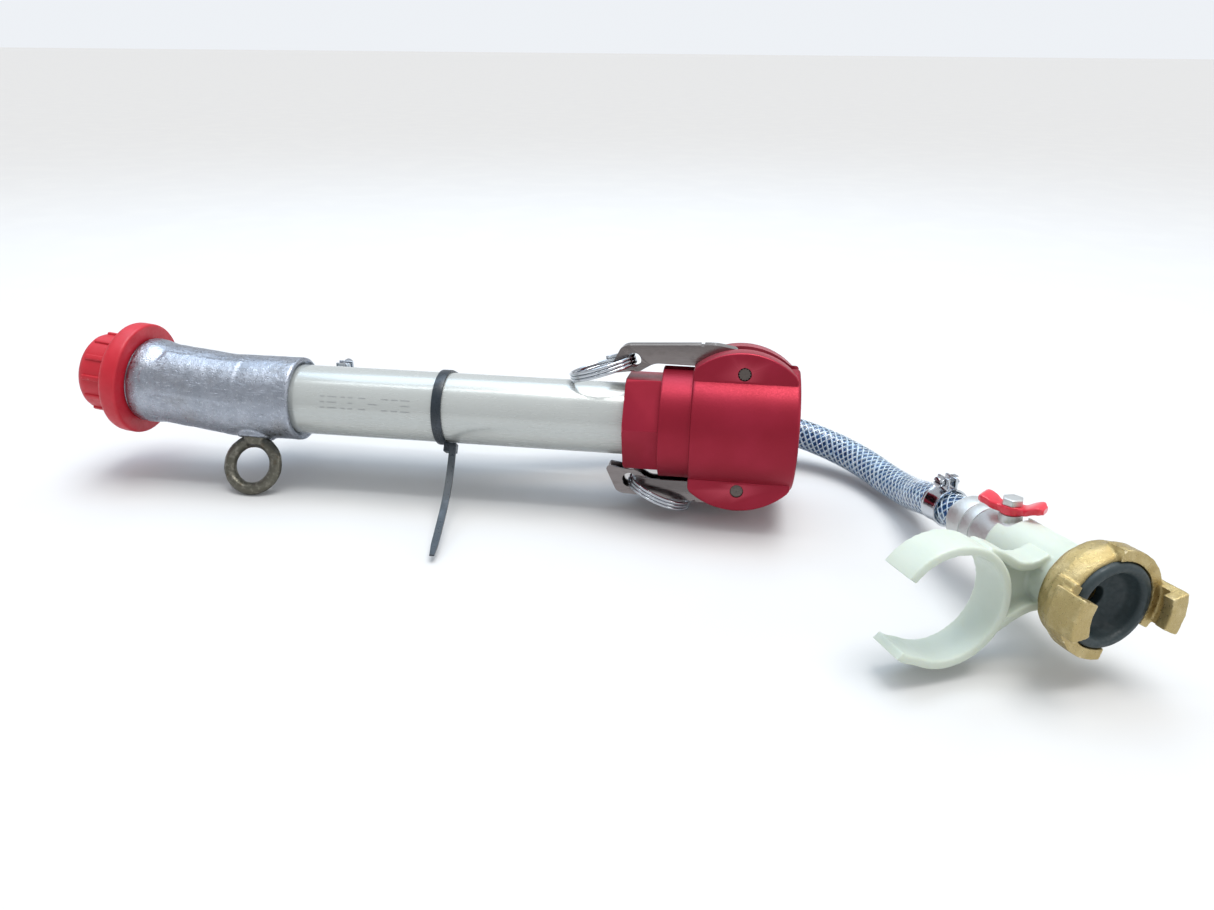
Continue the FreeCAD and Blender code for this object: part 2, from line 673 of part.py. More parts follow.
def build_valve():
    keep(turned("valve_barb", claw_at(HOSE_END), [
        ("-13", "barb_bore"), ("-13", "3.6"), ("-11", "hose_bore - 0.1"), ("0", "hose_bore - 0.1"),
        ("0", "7.6"), ("3", "7.6"), ("3", "6.38"), ("18.9", "6.38"), ("18.9", "barb_bore"),
    ]), "valve_barb")
    body = turned("valve_body_turned", claw_at(HOSE_END + 3), [
        ("0", "6.4"), ("0", "valve_radius - 0.8"), ("0.8", "valve_radius"), ("7", "valve_radius"),
        ("7", "valve_radius - 0.7"), ("7.8", "valve_radius - 0.7"), ("7.8", "valve_radius"),
        ("13", "valve_radius"), ("13", "valve_radius - 0.7"), ("13.8", "valve_radius - 0.7"),
        ("13.8", "valve_radius"), ("38", "valve_radius"), ("38", "3.5"), ("34.5", "3.5"),
        ("34.5", "6.4"),
    ])
    neck = cylinder(
        "StemTower", claw_at(STEM_AT).multiply(Placement(Vector(0, 7, 0), Rotation(Vector(1, 0, 0), -90))),
        "4.2", "5.4")
    stem_hole = cylinder(
        "StemHole", claw_at(STEM_AT).multiply(Placement(Vector(0, 4, 0), Rotation(Vector(1, 0, 0), -90))),
        "2.06", "12")
    passage = cylinder("ValvePassage", claw_at(HOSE_END + 12), "6.4", "24")
    keep(cut("ValveBody", fuse("ValveSolid", [body, neck]), [stem_hole, passage]), "valve_body")
    for name, at in (("rear", STEM_AT - 7.5), ("front", STEM_AT + 3.95)):
        keep(turned("valve_seat_" + name, claw_at(at), [
            ("0", "3.5"), ("0", "6.38"), ("3.5", "6.38"), ("3.5", "3.5"),
        ]), "valve_seat_" + name)
    ball = primitive("Sphere", "BallSphere", claw_at(STEM_AT), Radius="5.2")
    ball_bore = cylinder("BallBore", claw_at(STEM_AT - 8), "2.6", "16")
    stem_rise = Placement(Vector(0, 4.2, 0), Rotation(Vector(1, 0, 0), -90))
    ball_slot = cylinder("BallSlot", claw_at(STEM_AT).multiply(stem_rise), "2.02", "4")
    bored = cut("BallBored", ball, [ball_bore, ball_slot])
    stem = cylinder("StemRod", claw_at(STEM_AT).multiply(stem_rise), "2", "14.4")
    keep(bored, "valve_ball")
    keep(stem, "valve_stem")


def build_lever():
    up = Placement(Vector(0, 12.6, 0), Rotation(Vector(1, 0, 0), -90))
    turn = Placement(Vector(), Rotation(Vector(0, 0, 1), LEVER_TURN))
    base = claw_at(STEM_AT).multiply(up).multiply(turn)
    hub = cylinder("LeverHub", base, "4.2", "3")
    wings = []
    for side in (1, -1):
        slab = block(f"WingSlab{side + 2}", shifted(base, 0, side * 6, 0.2), "5.4", "8", "2.7")
        tip = cylinder(f"WingTip{side + 2}", shifted(base, 0, side * 9, 0.2), "4.3", "4")
        wings += [slab, tip]
    hole = cylinder("LeverHole", shifted(base, 0, 0, -1), "2.01", "6")
    keep(cut("Lever", fuse("LeverSolid", [hub] + wings), [hole]), "valve_lever")
    nut_place = shifted(base, 0, 0, 3)
    nut = primitive("Prism", "LeverNut", nut_place, Circumradius="4", Height="2.8")
    nut.Polygon = 6
    nut_hole = cylinder("NutHole", shifted(nut_place, 0, 0, -1), "2.01", "5")
    keep(cut("LeverNutCut", nut, [nut_hole]), "lever_nut")


def build_nipple():
    keep(turned("claw_nipple", claw_at(HOSE_END + 41), [
        ("0", "3.5"), ("0", "valve_radius - 1.2"), ("20", "valve_radius - 1.2"), ("20", "3.5"),
    ]), "claw_nipple")


def build_clip():
    """A sleeve over the valve and nipple, and a C-shaped clip beside it on a short neck."""
    rear = -48.5
    length = -13.2 - rear
    sleeve = cylinder("ClipSleeve", claw_at(rear), "sleeve_outer", f"{length:.1f}")
    centre = (-SIZES["clip_reach"], -SIZES["clip_drop"])
    hook_start = CLIP_MIDDLE - SIZES["clip_width"] / 2
    hoop = cylinder(
        "ClipHoop", claw_at(hook_start, *centre), "clip_radius + clip_wall", "clip_width")
    neck = block("ClipNeck", claw_at(hook_start, -18, -2), "20", "13", "clip_width - 5.4")
    solid = fuse("ClipSolid", [sleeve, hoop, neck])
    bore = cylinder("ClipSleeveBore", claw_at(rear - 1), "valve_radius + 0.02", f"{length + 2:.1f}")
    hollow = cylinder("ClipHollow", claw_at(hook_start - 1, *centre), "clip_radius", "clip_width + 2")
    mouth = Part.makePolygon([
        Vector(0, 0, -20), Vector(-40, 26, -20), Vector(-40, -26, -20), Vector(0, 0, -20)])
    wedge = shaped("ClipMouth", Part.Face(mouth).extrude(Vector(0, 0, 40)), claw_at(-22, *centre))
    notch = block("StemNotch", claw_at(rear - 1, 0, 12), "10", "14", "6")
    keep(cut("PoleClip", solid, [bore, hollow, wedge, notch]), "pole_clip")


def build_claw_coupling():
    """A shank inside the clip's sleeve, a disc, and two hooked claws that turn in over the seal."""
    claws = []
    body = turned("claw_body", claw_at(-19), [
        ("0", "valve_radius - 1.2"), ("0", "valve_radius"), ("6", "valve_radius"),
        ("6", "claw_disc_radius - 1.2"), ("7.2", "claw_disc_radius"), ("17", "claw_disc_radius"),
        ("17", "seal_radius - 0.4"), ("19", "seal_radius - 0.4"), ("19", "seal_radius - 3"),
        ("9", "seal_radius - 3"), ("9", "valve_radius - 1.2"),
    ])
    for side, turn in ((1, 172), (2, 352)):
        block_outer = Part.makeCylinder(
            SIZES["claw_outer_radius"], 9.5 + SIZES["claw_forward"], Vector(0, 0, -9.5), Vector(0, 0, 1), 28)
        block_inner = Part.makeCylinder(SIZES["claw_disc_radius"] - 0.4, 60, Vector(0, 0, -30))
        lip = Part.makeCylinder(
            SIZES["claw_outer_radius"], 4.2, Vector(0, 0, SIZES["claw_forward"] - 4.2), Vector(0, 0, 1), 28)
        lip = lip.cut(Part.makeCylinder(SIZES["seal_radius"] + 1.2, 60, Vector(0, 0, -30)))
        claw = block_outer.cut(block_inner).fuse(lip).removeSplitter()
        claw = claw.rotated(Vector(), Vector(0, 0, 1), turn - 14)
        claws.append(shaped(f"ClawHook{side}", claw, claw_at(0)))
    keep(fuse("ClawCoupling", [body] + claws), "claw_coupling")
    keep(turned("claw_seal", claw_at(-10), [
        ("0", "5"), ("0", "seal_radius - 3"), ("10", "seal_radius - 3"), ("10", "seal_radius"),
        ("12", "seal_radius"), ("12", "seal_radius - 3.5"), ("6", "8"),
    ]), "claw_seal")


# ---- cable tie ----------------------------------------------------------------------------------

def build_cable_tie():
    """A strap round pipe and hose together, its lock under the pipe and its tail lying forward."""
    width = 4.6
    x = -163.0
    before, after = HOSE_ROUTE[2:4]
    hose = before + (after - before) * ((x - before.x) / (after.x - before.x))
    hose.x = 0
    thick = 1.3

    def loop(extra):
        """The outline round both circles: two tangent lines and two arcs, in the YZ plane."""
        big = SIZES["pipe_radius"] + 0.03 + extra
        small = SIZES["hose_radius"] + 0.6 + extra
        gap = hose.Length
        base = math.atan2(hose.z, hose.y)
        open_angle = math.acos((big - small) / gap)
        bearings = [base + open_angle, base - open_angle]
        on_big = [Vector(0, math.cos(bearing), math.sin(bearing)) for bearing in bearings]
        upper_pipe = on_big[0] * big
        lower_pipe = on_big[1] * big
        upper_hose = hose + on_big[0] * small
        lower_hose = hose + on_big[1] * small
        away = Vector(0, math.cos(base), math.sin(base))
        return Part.Face(Part.Wire([
            Part.LineSegment(upper_pipe, upper_hose).toShape(),
            Part.Arc(upper_hose, hose + away * small, lower_hose).toShape(),
            Part.LineSegment(lower_hose, lower_pipe).toShape(),
            Part.Arc(lower_pipe, away * -big, upper_pipe).toShape(),
        ]))

    strap = loop(thick).cut(loop(0)).extrude(Vector(width, 0, 0)).translated(Vector(x - width / 2, 0, 0))
    lock_angle = math.radians(232)
    lock_way = Vector(0, math.cos(lock_angle), math.sin(lock_angle))
    lock_at = Vector(x + 2, 0, 0) + lock_way * (SIZES["pipe_radius"] + 1)
    lock = Part.makeBox(6.4, 5.4, 4.4, Vector(-3.2, -2.7, -0.4))
    lock = lock.transformGeometry(Placement(
        lock_at, Rotation(Vector(1, 0, 0), math.degrees(lock_angle) - 90)).toMatrix())
    tail_points = [Vector(0, 0, 0), Vector(0, -9, -8), Vector(0, -30, -18.5), Vector(0, -59, -22.5)]
    run, _, _ = arc_path(tail_points)
    section = Part.makePolygon([
        Vector(-width / 2, 0, 0), Vector(width / 2, 0, 0), Vector(width / 2, 0, -thick),
        Vector(-width / 2, 0, -thick), Vector(-width / 2, 0, 0)])
    tail = Part.Wire(run).makePipeShell([Part.Wire(section.Edges)], True, False)
    tail = tail.rotated(Vector(), Vector(0, 0, 1), 9).translated(Vector(x + 3.5, -12.5, -15.2))
    keep(shaped("CableTie", strap.fuse([lock, tail]).removeSplitter()), "cable_tie")


def check_and_export():
    doc.recompute()
    bad = [item.Name for item in doc.Objects if "Invalid" in item.State or "Error" in item.State]
    if bad:
        raise RuntimeError("failed objects: " + ", ".join(bad))
    for item in nodes:
        if item.Shape.isNull() or not item.Shape.isValid() or not item.Shape.Solids:
            raise RuntimeError("bad shape: " + item.Label)
    os.makedirs("parts", exist_ok=True)
    for item in nodes:
        item.Shape.exportStep(f"parts/{item.Label}.step")
    print(len(nodes), "nodes written")


fill_sheet()
build_pipe()
build_coupling_body()
build_gasket()
build_arm("cam_arm_upper", 1)
build_arm("cam_arm_lower", -1)
build_pins()
build_ring("pull_ring_upper", 1, -18)
build_ring("pull_ring_lower", -1, 202)
build_head()
build_air_tube()
build_nozzle()
build_eye_bolt()
build_hose()
build_head_barb()
build_hose_clamp("inlet_clamp", hose_frame("head"), 13)
build_hose_clamp("valve_clamp", hose_frame("valve"), 14.5)
build_valve()
build_lever()
build_nipple()
build_clip()
build_claw_coupling()
build_cable_tie()
check_and_export()
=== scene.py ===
import math
import random

import bmesh
import bpy
from mathutils import Matrix, Vector, noise


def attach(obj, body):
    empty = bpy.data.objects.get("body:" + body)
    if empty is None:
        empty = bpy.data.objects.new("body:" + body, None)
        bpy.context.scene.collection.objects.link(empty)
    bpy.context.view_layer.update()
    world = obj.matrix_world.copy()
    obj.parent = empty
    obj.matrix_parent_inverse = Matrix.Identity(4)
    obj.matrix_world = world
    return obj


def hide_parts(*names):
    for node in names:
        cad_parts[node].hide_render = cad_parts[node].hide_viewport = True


# The looks of a short spray lance. Shapes are made in millimetres in a local frame of their own, then
# placed in the shared frame: origin at the coupling's mouth, +X out of it, +Z up.

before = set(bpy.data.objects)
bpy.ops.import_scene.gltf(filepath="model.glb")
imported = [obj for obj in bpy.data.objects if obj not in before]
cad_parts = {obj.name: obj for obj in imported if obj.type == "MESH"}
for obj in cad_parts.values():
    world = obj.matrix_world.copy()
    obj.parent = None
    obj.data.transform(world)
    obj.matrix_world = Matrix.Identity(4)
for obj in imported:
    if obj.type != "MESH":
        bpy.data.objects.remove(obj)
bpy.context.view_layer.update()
MM = 0.001

# ---- frames shared with the CAD ----------------------------

PIPE_R = 16.7
PIPE_BORE_R = 13.3
PIPE_LENGTH = 200
PIPE_BACK = -252.2
SOCKET_R = PIPE_R + 0.02
HEAD_FACE = -234.2
BEND_X = -269.0
HEAD_BEND = 7.0
COUPLING_ROLL = -10
HOSE_R = 7.5
EYE_X = -257
EYE_ROLL = math.radians(31)


def axes(origin, x_axis, y_axis, z_axis):
    """The matrix of a frame with this origin and these unit axes."""
    columns = [Vector(v).to_4d() for v in (x_axis, y_axis, z_axis, origin)]
    for column in columns[:3]:
        column[3] = 0.0
    return Matrix(columns).transposed()


def along_x(x, y=0.0, z=0.0):
    return Matrix.Translation((x, y, z)) @ Matrix.Rotation(math.radians(90), 4, "Y")


def along_y(x, y, z):
    return Matrix.Translation((x, y, z)) @ Matrix.Rotation(math.radians(-90), 4, "X")


def unit(azimuth, elevation):
    """A unit vector from degrees round Z and degrees above the XY plane."""
    a = math.radians(azimuth)
    e = math.radians(elevation)
    return Vector((math.cos(a) * math.cos(e), math.sin(a) * math.cos(e), math.sin(e)))


HEAD = Matrix.Translation((BEND_X, 0, 0)) @ Matrix.Rotation(math.radians(HEAD_BEND - 90), 4, "Y")
COUPLING = Matrix.Rotation(math.radians(COUPLING_ROLL), 4, "X")
CLAW_AXIS = unit(-66, 5)
CLAW_RIGHT = Vector((0, 0, 1)).cross(CLAW_AXIS).normalized()
CLAW_UP = CLAW_AXIS.cross(CLAW_RIGHT)
CLAW_FRONT = Vector((98, -111, -10))
CLAW = axes(CLAW_FRONT, CLAW_RIGHT, CLAW_UP, CLAW_AXIS)
EYE_DOWN = Vector((0, -math.sin(EYE_ROLL), -math.cos(EYE_ROLL)))
EYE = axes((EYE_X, 0, 0), (1, 0, 0), EYE_DOWN.cross(Vector((1, 0, 0))), EYE_DOWN)


def shifted(matrix, x=0.0, y=0.0, z=0.0):
    return matrix @ Matrix.Translation((x, y, z))


# ---- materials ---------------------------------------------


class Finish:
    """A Principled material whose patterns are measured in millimetres of the shared frame."""

    def __init__(self, name, base, roughness, metallic=0.0, **sockets):
        self.material = bpy.data.materials.new(name)
        self.material.use_nodes = True
        self.material.diffuse_color = (*base, 1.0)
        self.tree = self.material.node_tree
        self.shader = self.tree.nodes["Principled BSDF"]
        self.set("Base Color", (*base, 1.0))
        self.set("Roughness", roughness)
        self.set("Metallic", metallic)
        for key, value in sockets.items():
            self.set(key.replace("_", " "), value)
        coordinates = self.tree.nodes.new("ShaderNodeTexCoord")
        scale = self.node("ShaderNodeVectorMath", operation="SCALE")
        self.link(coordinates.outputs["Object"], scale.inputs[0])
        scale.inputs["Scale"].default_value = 1000.0
        self.mm = scale.outputs[0]
        self.height = None

    def set(self, key, value):
        self.shader.inputs[key].default_value = value

    def node(self, kind, **settings):
        item = self.tree.nodes.new(kind)
        for key, value in settings.items():
            setattr(item, key, value)
        return item

    def link(self, source, target):
        self.tree.links.new(source, target)

    def stretched(self, stretch, turn=(0, 0, 0)):
        mapping = self.node("ShaderNodeMapping")
        self.link(self.mm, mapping.inputs["Vector"])
        mapping.inputs["Rotation"].default_value = [math.radians(a) for a in turn]
        mapping.inputs["Scale"].default_value = stretch
        return mapping.outputs["Vector"]

    def noise(self, size, detail=3.0, stretch=(1, 1, 1), turn=(0, 0, 0), distortion=0.0, rough=0.5):
        """Noise with features about size millimetres across."""
        item = self.node("ShaderNodeTexNoise")
        self.link(self.stretched(stretch, turn), item.inputs["Vector"])
        item.inputs["Scale"].default_value = 1.0 / size
        item.inputs["Detail"].default_value = detail
        item.inputs["Roughness"].default_value = rough
        item.inputs["Distortion"].default_value = distortion
        return item.outputs["Fac"]

    def cells(self, size):
        """Distance from scattered points that lie about size millimetres apart."""
        item = self.node("ShaderNodeTexVoronoi")
        self.link(self.mm, item.inputs["Vector"])
        item.inputs["Scale"].default_value = 1.0 / size
        return item.outputs["Distance"]

    def ramp(self, value, low, high, bottom=0.0, top=1.0):
        """A smooth step from bottom to top as value goes from low to high."""
        item = self.node("ShaderNodeMapRange", interpolation_type="SMOOTHSTEP")
        self.link(value, item.inputs["Value"])
        for key, number in (("From Min", low), ("From Max", high), ("To Min", bottom), ("To Max", top)):
            item.inputs[key].default_value = number
        return item.outputs["Result"]

    def times(self, mask, other):
        """A mask times a number or another mask."""
        item = self.node("ShaderNodeMath", operation="MULTIPLY")
        self.link(mask, item.inputs[0])
        if isinstance(other, float):
            item.inputs[1].default_value = other
        else:
            self.link(other, item.inputs[1])
        return item.outputs[0]

    def tint(self, mask, color, strength):
        """Lay a colour over the base where the mask is 1."""
        socket = self.shader.inputs["Base Color"]
        item = self.node("ShaderNodeMix", data_type="RGBA")
        self.link(self.times(mask, strength), item.inputs["Factor"])
        if socket.is_linked:
            self.link(socket.links[0].from_socket, item.inputs["A"])
        else:
            item.inputs["A"].default_value = socket.default_value
        item.inputs["B"].default_value = (*color, 1.0)
        self.link(item.outputs["Result"], socket)

    def gloss(self, pattern, low, high):
        """Let the roughness follow a pattern from low to high."""
        self.link(self.ramp(pattern, 0.3, 0.7, low, high), self.shader.inputs["Roughness"])

    def bump(self, value, depth):
        """Add relief whose full height is depth millimetres."""
        item = self.node("ShaderNodeBump")
        item.inputs["Strength"].default_value = 1.0
        item.inputs["Distance"].default_value = depth * MM
        self.link(value, item.inputs["Height"])
        if self.height is not None:
            self.link(self.height, item.inputs["Normal"])
        self.height = item.outputs["Normal"]
        self.link(self.height, self.shader.inputs["Normal"])

    def edges(self):
        """A mask of convex edges, used for wear and for a painted highlight."""
        geometry = self.node("ShaderNodeNewGeometry")
        return self.ramp(geometry.outputs["Pointiness"], 0.53, 0.60)


def cast_metal_finish():
    m = Finish("cast_aluminium", (0.33, 0.355, 0.405), 0.34, 1.0)
    m.tint(m.ramp(m.noise(6.0, 5.0, distortion=0.4), 0.35, 0.70), (0.42, 0.445, 0.50), 0.6)
    m.tint(m.ramp(m.noise(1.2, 4.0), 0.55, 0.75), (0.58, 0.61, 0.66), 0.6)
    m.tint(m.ramp(m.noise(14.0, 4.0), 0.55, 0.75), (0.26, 0.235, 0.21), 0.3)
    m.tint(m.ramp(m.cells(2.4), 0.0, 0.20, 1.0, 0.0), (0.15, 0.14, 0.13), 0.45)
    m.gloss(m.noise(1.4, 4.0), 0.24, 0.46)
    m.bump(m.noise(2.6, 4.0), 0.22)
    m.bump(m.noise(0.7, 4.0, rough=0.65), 0.16)
    scratch = m.noise(0.35, 1.0, stretch=(0.05, 1, 1), turn=(0, 20, 35))
    m.bump(m.ramp(scratch, 0.66, 0.74), -0.06)
    return m.material


def pipe_finish():
    m = Finish("zinc_pipe", (0.50, 0.52, 0.50), 0.26, 0.35, Coat_Weight=0.5, Coat_Roughness=0.12)
    m.tint(m.ramp(m.noise(40.0, 1.0), 0.3, 0.8), (0.54, 0.555, 0.535), 0.6)
    m.tint(m.ramp(m.noise(1.2, 3.0, stretch=(0.10, 1, 1)), 0.50, 0.80), (0.44, 0.44, 0.41), 0.06)
    m.gloss(m.noise(1.5, 3.0, stretch=(0.10, 1, 1)), 0.25, 0.28)
    m.bump(m.noise(0.6, 2.0), 0.005)
    return m.material


def red_plastic_finish():
    m = Finish("red_plastic", (0.50, 0.010, 0.024), 0.42, 0.0, Specular_IOR_Level=0.45)
    m.tint(m.ramp(m.noise(9.0, 3.0), 0.4, 0.7), (0.58, 0.018, 0.036), 0.7)
    scuff = m.times(m.edges(), m.ramp(m.noise(1.0, 4.0), 0.56, 0.66))
    m.tint(scuff, (0.80, 0.35, 0.36), 0.5)
    m.gloss(m.noise(2.2, 3.0), 0.36, 0.52)
    m.bump(m.noise(0.7, 3.0), 0.03)
    m.bump(m.noise(7.0, 1.0), 0.10)
    return m.material


def anodised_finish():
    m = Finish("red_anodised", (0.29, 0.008, 0.026), 0.42, 0.6)
    m.tint(m.ramp(m.noise(18.0, 2.0), 0.35, 0.7), (0.34, 0.013, 0.038), 0.7)
    # Lighter pink on the convex edges: a painted highlight along the rims.
    m.tint(m.edges(), (0.75, 0.12, 0.17), 0.55)
    m.gloss(m.noise(0.5, 3.0), 0.36, 0.50)
    m.bump(m.noise(0.35, 2.0), 0.012)
    m.bump(m.ramp(m.noise(0.8, 1.0, stretch=(6, 0.12, 0.12)), 0.4, 0.6), 0.005)
    return m.material


def steel_finish(name, base, low, high, relief=0.010):
    """Brushed steel whose roughness lies between low and high."""
    m = Finish(name, base, low, 1.0)
    brushed = m.noise(0.45, 3.0, stretch=(0.08, 1, 1))
    m.gloss(brushed, low, high)
    m.tint(m.ramp(m.noise(5.0, 4.0), 0.55, 0.75), tuple(0.62 * c for c in base), 0.5)
    m.bump(brushed, relief)
    m.bump(m.noise(4.0, 1.0), 0.05)
    return m.material


def dull_steel_finish():
    m = Finish("eye_steel", (0.13, 0.125, 0.10), 0.34, 0.9)
    m.tint(m.ramp(m.noise(2.0, 4.0), 0.48, 0.68), (0.24, 0.225, 0.19), 0.8)
    m.tint(m.ramp(m.noise(4.5, 4.0), 0.58, 0.72), (0.10, 0.065, 0.035), 0.55)
    m.gloss(m.noise(1.5, 3.0), 0.28, 0.48)
    m.bump(m.noise(0.9, 4.0), 0.10)
    return m.material


def nickel_finish():
    m = Finish("nickel_brass", (0.60, 0.61, 0.60), 0.42, 0.9)
    m.tint(m.ramp(m.noise(3.0, 4.0), 0.55, 0.75), (0.44, 0.44, 0.42), 0.4)
    m.gloss(m.noise(0.7, 3.0), 0.38, 0.54)
    m.bump(m.noise(0.5, 3.0), 0.035)
    return m.material


def brass_finish():
    m = Finish("cast_brass", (0.50, 0.39, 0.18), 0.40, 1.0)
    m.tint(m.ramp(m.noise(5.0, 4.0), 0.45, 0.68), (0.60, 0.49, 0.26), 0.8)
    m.tint(m.ramp(m.noise(8.0, 3.0), 0.55, 0.75), (0.34, 0.25, 0.10), 0.5)
    m.tint(m.edges(), (0.92, 0.80, 0.52), 0.8)
    m.gloss(m.noise(0.8, 4.0), 0.26, 0.50)
    m.bump(m.noise(0.45, 4.0, rough=0.7), 0.26)
    m.bump(m.noise(3.0, 2.0), 0.12)
    return m.material


def cream_finish():
    m = Finish(
        "cream_plastic", (0.56, 0.625, 0.545), 0.34, 0.0,
        Subsurface_Weight=0.25, Subsurface_Scale=0.004, Subsurface_Radius=(1.0, 0.85, 0.5))
    m.tint(m.ramp(m.noise(22.0, 3.0), 0.4, 0.7), (0.61, 0.665, 0.59), 0.7)
    m.tint(m.ramp(m.noise(6.0, 4.0), 0.6, 0.8), (0.55, 0.54, 0.38), 0.35)
    m.gloss(m.noise(3.0, 3.0), 0.30, 0.46)
    m.bump(m.noise(1.2, 3.0), 0.03)
    return m.material


def rubber_finish():
    m = Finish("black_rubber", (0.022, 0.036, 0.040), 0.48, 0.0, Specular_IOR_Level=0.5)
    m.tint(m.ramp(m.noise(3.0, 4.0), 0.5, 0.75), (0.034, 0.054, 0.060), 0.7)
    m.gloss(m.noise(1.4, 3.0), 0.42, 0.66)
    m.bump(m.noise(0.5, 3.0), 0.03)
    return m.material


def nylon_finish():
    m = Finish("black_nylon", (0.011, 0.019, 0.027), 0.30, 0.0)
    # The lighter bluish patches on the black nylon are a painted sheen.
    m.tint(m.ramp(m.noise(5.0, 3.0), 0.5, 0.8), (0.05, 0.065, 0.085), 0.8)
    m.gloss(m.noise(1.2, 3.0), 0.26, 0.42)
    m.bump(m.noise(0.4, 2.0), 0.02)
    return m.material


def lever_finish():
    m = Finish("red_paint", (0.72, 0.018, 0.045), 0.30, 0.0, Coat_Weight=0.4, Coat_Roughness=0.15)
    m.tint(m.ramp(m.noise(4.0, 3.0), 0.45, 0.7), (0.62, 0.012, 0.030), 0.7)
    m.bump(m.noise(1.5, 3.0), 0.05)
    return m.material


def plain_finish(name, base, roughness, grain):
    m = Finish(name, base, roughness, 0.0)
    m.tint(m.ramp(m.noise(grain * 4, 3.0), 0.45, 0.7), tuple(0.8 * c for c in base), 0.6)
    m.bump(m.noise(grain, 3.0), 0.02)
    return m.material


def hose_wall_finish():
    m = Finish(
        "clear_hose", (0.80, 0.91, 1.0), 0.06, 0.0, Transmission_Weight=1.0, IOR=1.22,
        Coat_Weight=0.6, Coat_Roughness=0.08)
    m.bump(m.noise(5.0, 2.0, stretch=(0.4, 1, 1)), 0.10)
    return m.material


def hose_core_finish():
    m = Finish("hose_core", (0.045, 0.14, 0.34), 0.30, 0.0, Transmission_Weight=0.15, IOR=1.3)
    m.tint(m.ramp(m.noise(5.0, 3.0), 0.4, 0.7), (0.10, 0.24, 0.48), 0.7)
    m.bump(m.noise(1.0, 3.0), 0.10)
    return m.material


def braid_finish():
    m = Finish("hose_braid", (0.90, 0.94, 0.97), 0.25, 0.0, Specular_IOR_Level=0.8)
    m.tint(m.ramp(m.noise(2.5, 2.0), 0.45, 0.65), (0.60, 0.74, 0.90), 0.7)
    m.bump(m.noise(0.3, 2.0), 0.03)
    return m.material


# Each finish: its material and the record's material slot.
FINISHES = {
    "cast": (cast_metal_finish(), "cast_aluminium"),
    "pipe": (pipe_finish(), "galvanised_steel"),
    "red_plastic": (red_plastic_finish(), "red_plastic"),
    "anodised": (anodised_finish(), "red_anodised"),
    "stainless": (steel_finish("stainless", (0.60, 0.61, 0.63), 0.14, 0.30), "stainless"),
    # The arms are stainless steel painted darker and reddish than the stainless above: painted shade and a
    # painted reflection of the red coupling.
    "arm_steel_painted_reflection": (steel_finish("arm_steel_painted_reflection", (0.22, 0.195, 0.19), 0.12, 0.26, relief=0.008), "stainless"),
    "pin_steel": (steel_finish("pin_steel", (0.13, 0.11, 0.10), 0.24, 0.42, relief=0.02), "stainless"),
    "chrome": (steel_finish("chrome", (0.54, 0.565, 0.60), 0.06, 0.16, relief=0.004), "chrome"),
    "eye_steel": (dull_steel_finish(), "stainless"),
    "nickel": (nickel_finish(), "nickel_brass"),
    "brass": (brass_finish(), "cast_brass"),
    "cream": (cream_finish(), "cream_plastic"),
    "rubber": (rubber_finish(), "black_rubber"),
    "nylon": (nylon_finish(), "black_nylon"),
    "lever": (lever_finish(), "red_paint"),
    "seat": (plain_finish("white_seat", (0.78, 0.78, 0.75), 0.35, 1.0), "white_seat"),
    "ink": (plain_finish("printed_ink", (0.30, 0.31, 0.31), 0.5, 0.8), "black_nylon"),
    "hose_wall": (hose_wall_finish(), "clear_hose"),
    "hose_core": (hose_core_finish(), "clear_hose"),
    "braid": (braid_finish(), "clear_hose"),
}

# ---- mesh tools --------------------------------------------


def soft(points, radius, steps=4, closed=True):
    """Round the corners of an outline; a point may carry its own radius as a third value."""
    out = []
    count = len(points)
    for i, point in enumerate(points):
        here = Vector(point[:2])
        size = point[2] if len(point) > 2 else radius
        if not closed and i in (0, count - 1):
            out.append(here)
            continue
        back = Vector(points[i - 1][:2]) - here
        ahead = Vector(points[(i + 1) % count][:2]) - here
        reach = min(size, 0.48 * back.length, 0.48 * ahead.length)
        if reach < 1e-4 or back.normalized().dot(ahead.normalized()) < -0.9995:
            out.append(here)
            continue
        start = here + back.normalized() * reach
        end = here + ahead.normalized() * reach
        for k in range(steps + 1):
            t = k / steps
            out.append(start * (1 - t) ** 2 + here * 2 * t * (1 - t) + end * t ** 2)
    return out


def lathe(outline, radius=0.3, segments=96, steps=3):
    """Turn a closed outline of (along Z, radius) points about Z."""
    profile = soft(outline, radius, steps)
    bm = bmesh.new()
    rings = []
    for along, reach in profile:
        if abs(reach) < 1e-6:
            rings.append([bm.verts.new((0, 0, along))])
            continue
        ring = []
        for k in range(segments):
            a = 2 * math.pi * k / segments
            ring.append(bm.verts.new((reach * math.cos(a), reach * math.sin(a), along)))
        rings.append(ring)
    for i, ring in enumerate(rings):
        other = rings[(i + 1) % len(rings)]
        if len(ring) == 1 and len(other) == 1:
            continue
        for k in range(segments):
            n = (k + 1) % segments
            if len(ring) == 1:
                bm.faces.new((ring[0], other[n], other[k]))
            elif len(other) == 1:
                bm.faces.new((ring[k], ring[n], other[0]))
            else:
                bm.faces.new((ring[k], ring[n], other[n], other[k]))
    bmesh.ops.recalc_face_normals(bm, faces=bm.faces)
    return bm


def extruded(outline, low, high):
    """A prism of an XY outline from z low to z high."""
    bm = bmesh.new()
    bottom = [bm.verts.new((p[0], p[1], low)) for p in outline]
    top = [bm.verts.new((p[0], p[1], high)) for p in outline]
    bm.faces.new(bottom)
    bm.faces.new(top)
    for i in range(len(outline)):
        n = (i + 1) % len(outline)
        bm.faces.new((bottom[i], bottom[n], top[n], top[i]))
    bmesh.ops.recalc_face_normals(bm, faces=bm.faces)
    return bm


def turns(count, start=0.0, sweep=360.0):
    """Angles in radians round a circle, or along an arc when sweep is under a full turn."""
    steps = count if abs(sweep) >= 360 else count - 1
    return [math.radians(start + sweep * k / steps) for k in range(count)]


def arc(radius, angles):
    return [(radius * math.cos(a), radius * math.sin(a)) for a in angles]


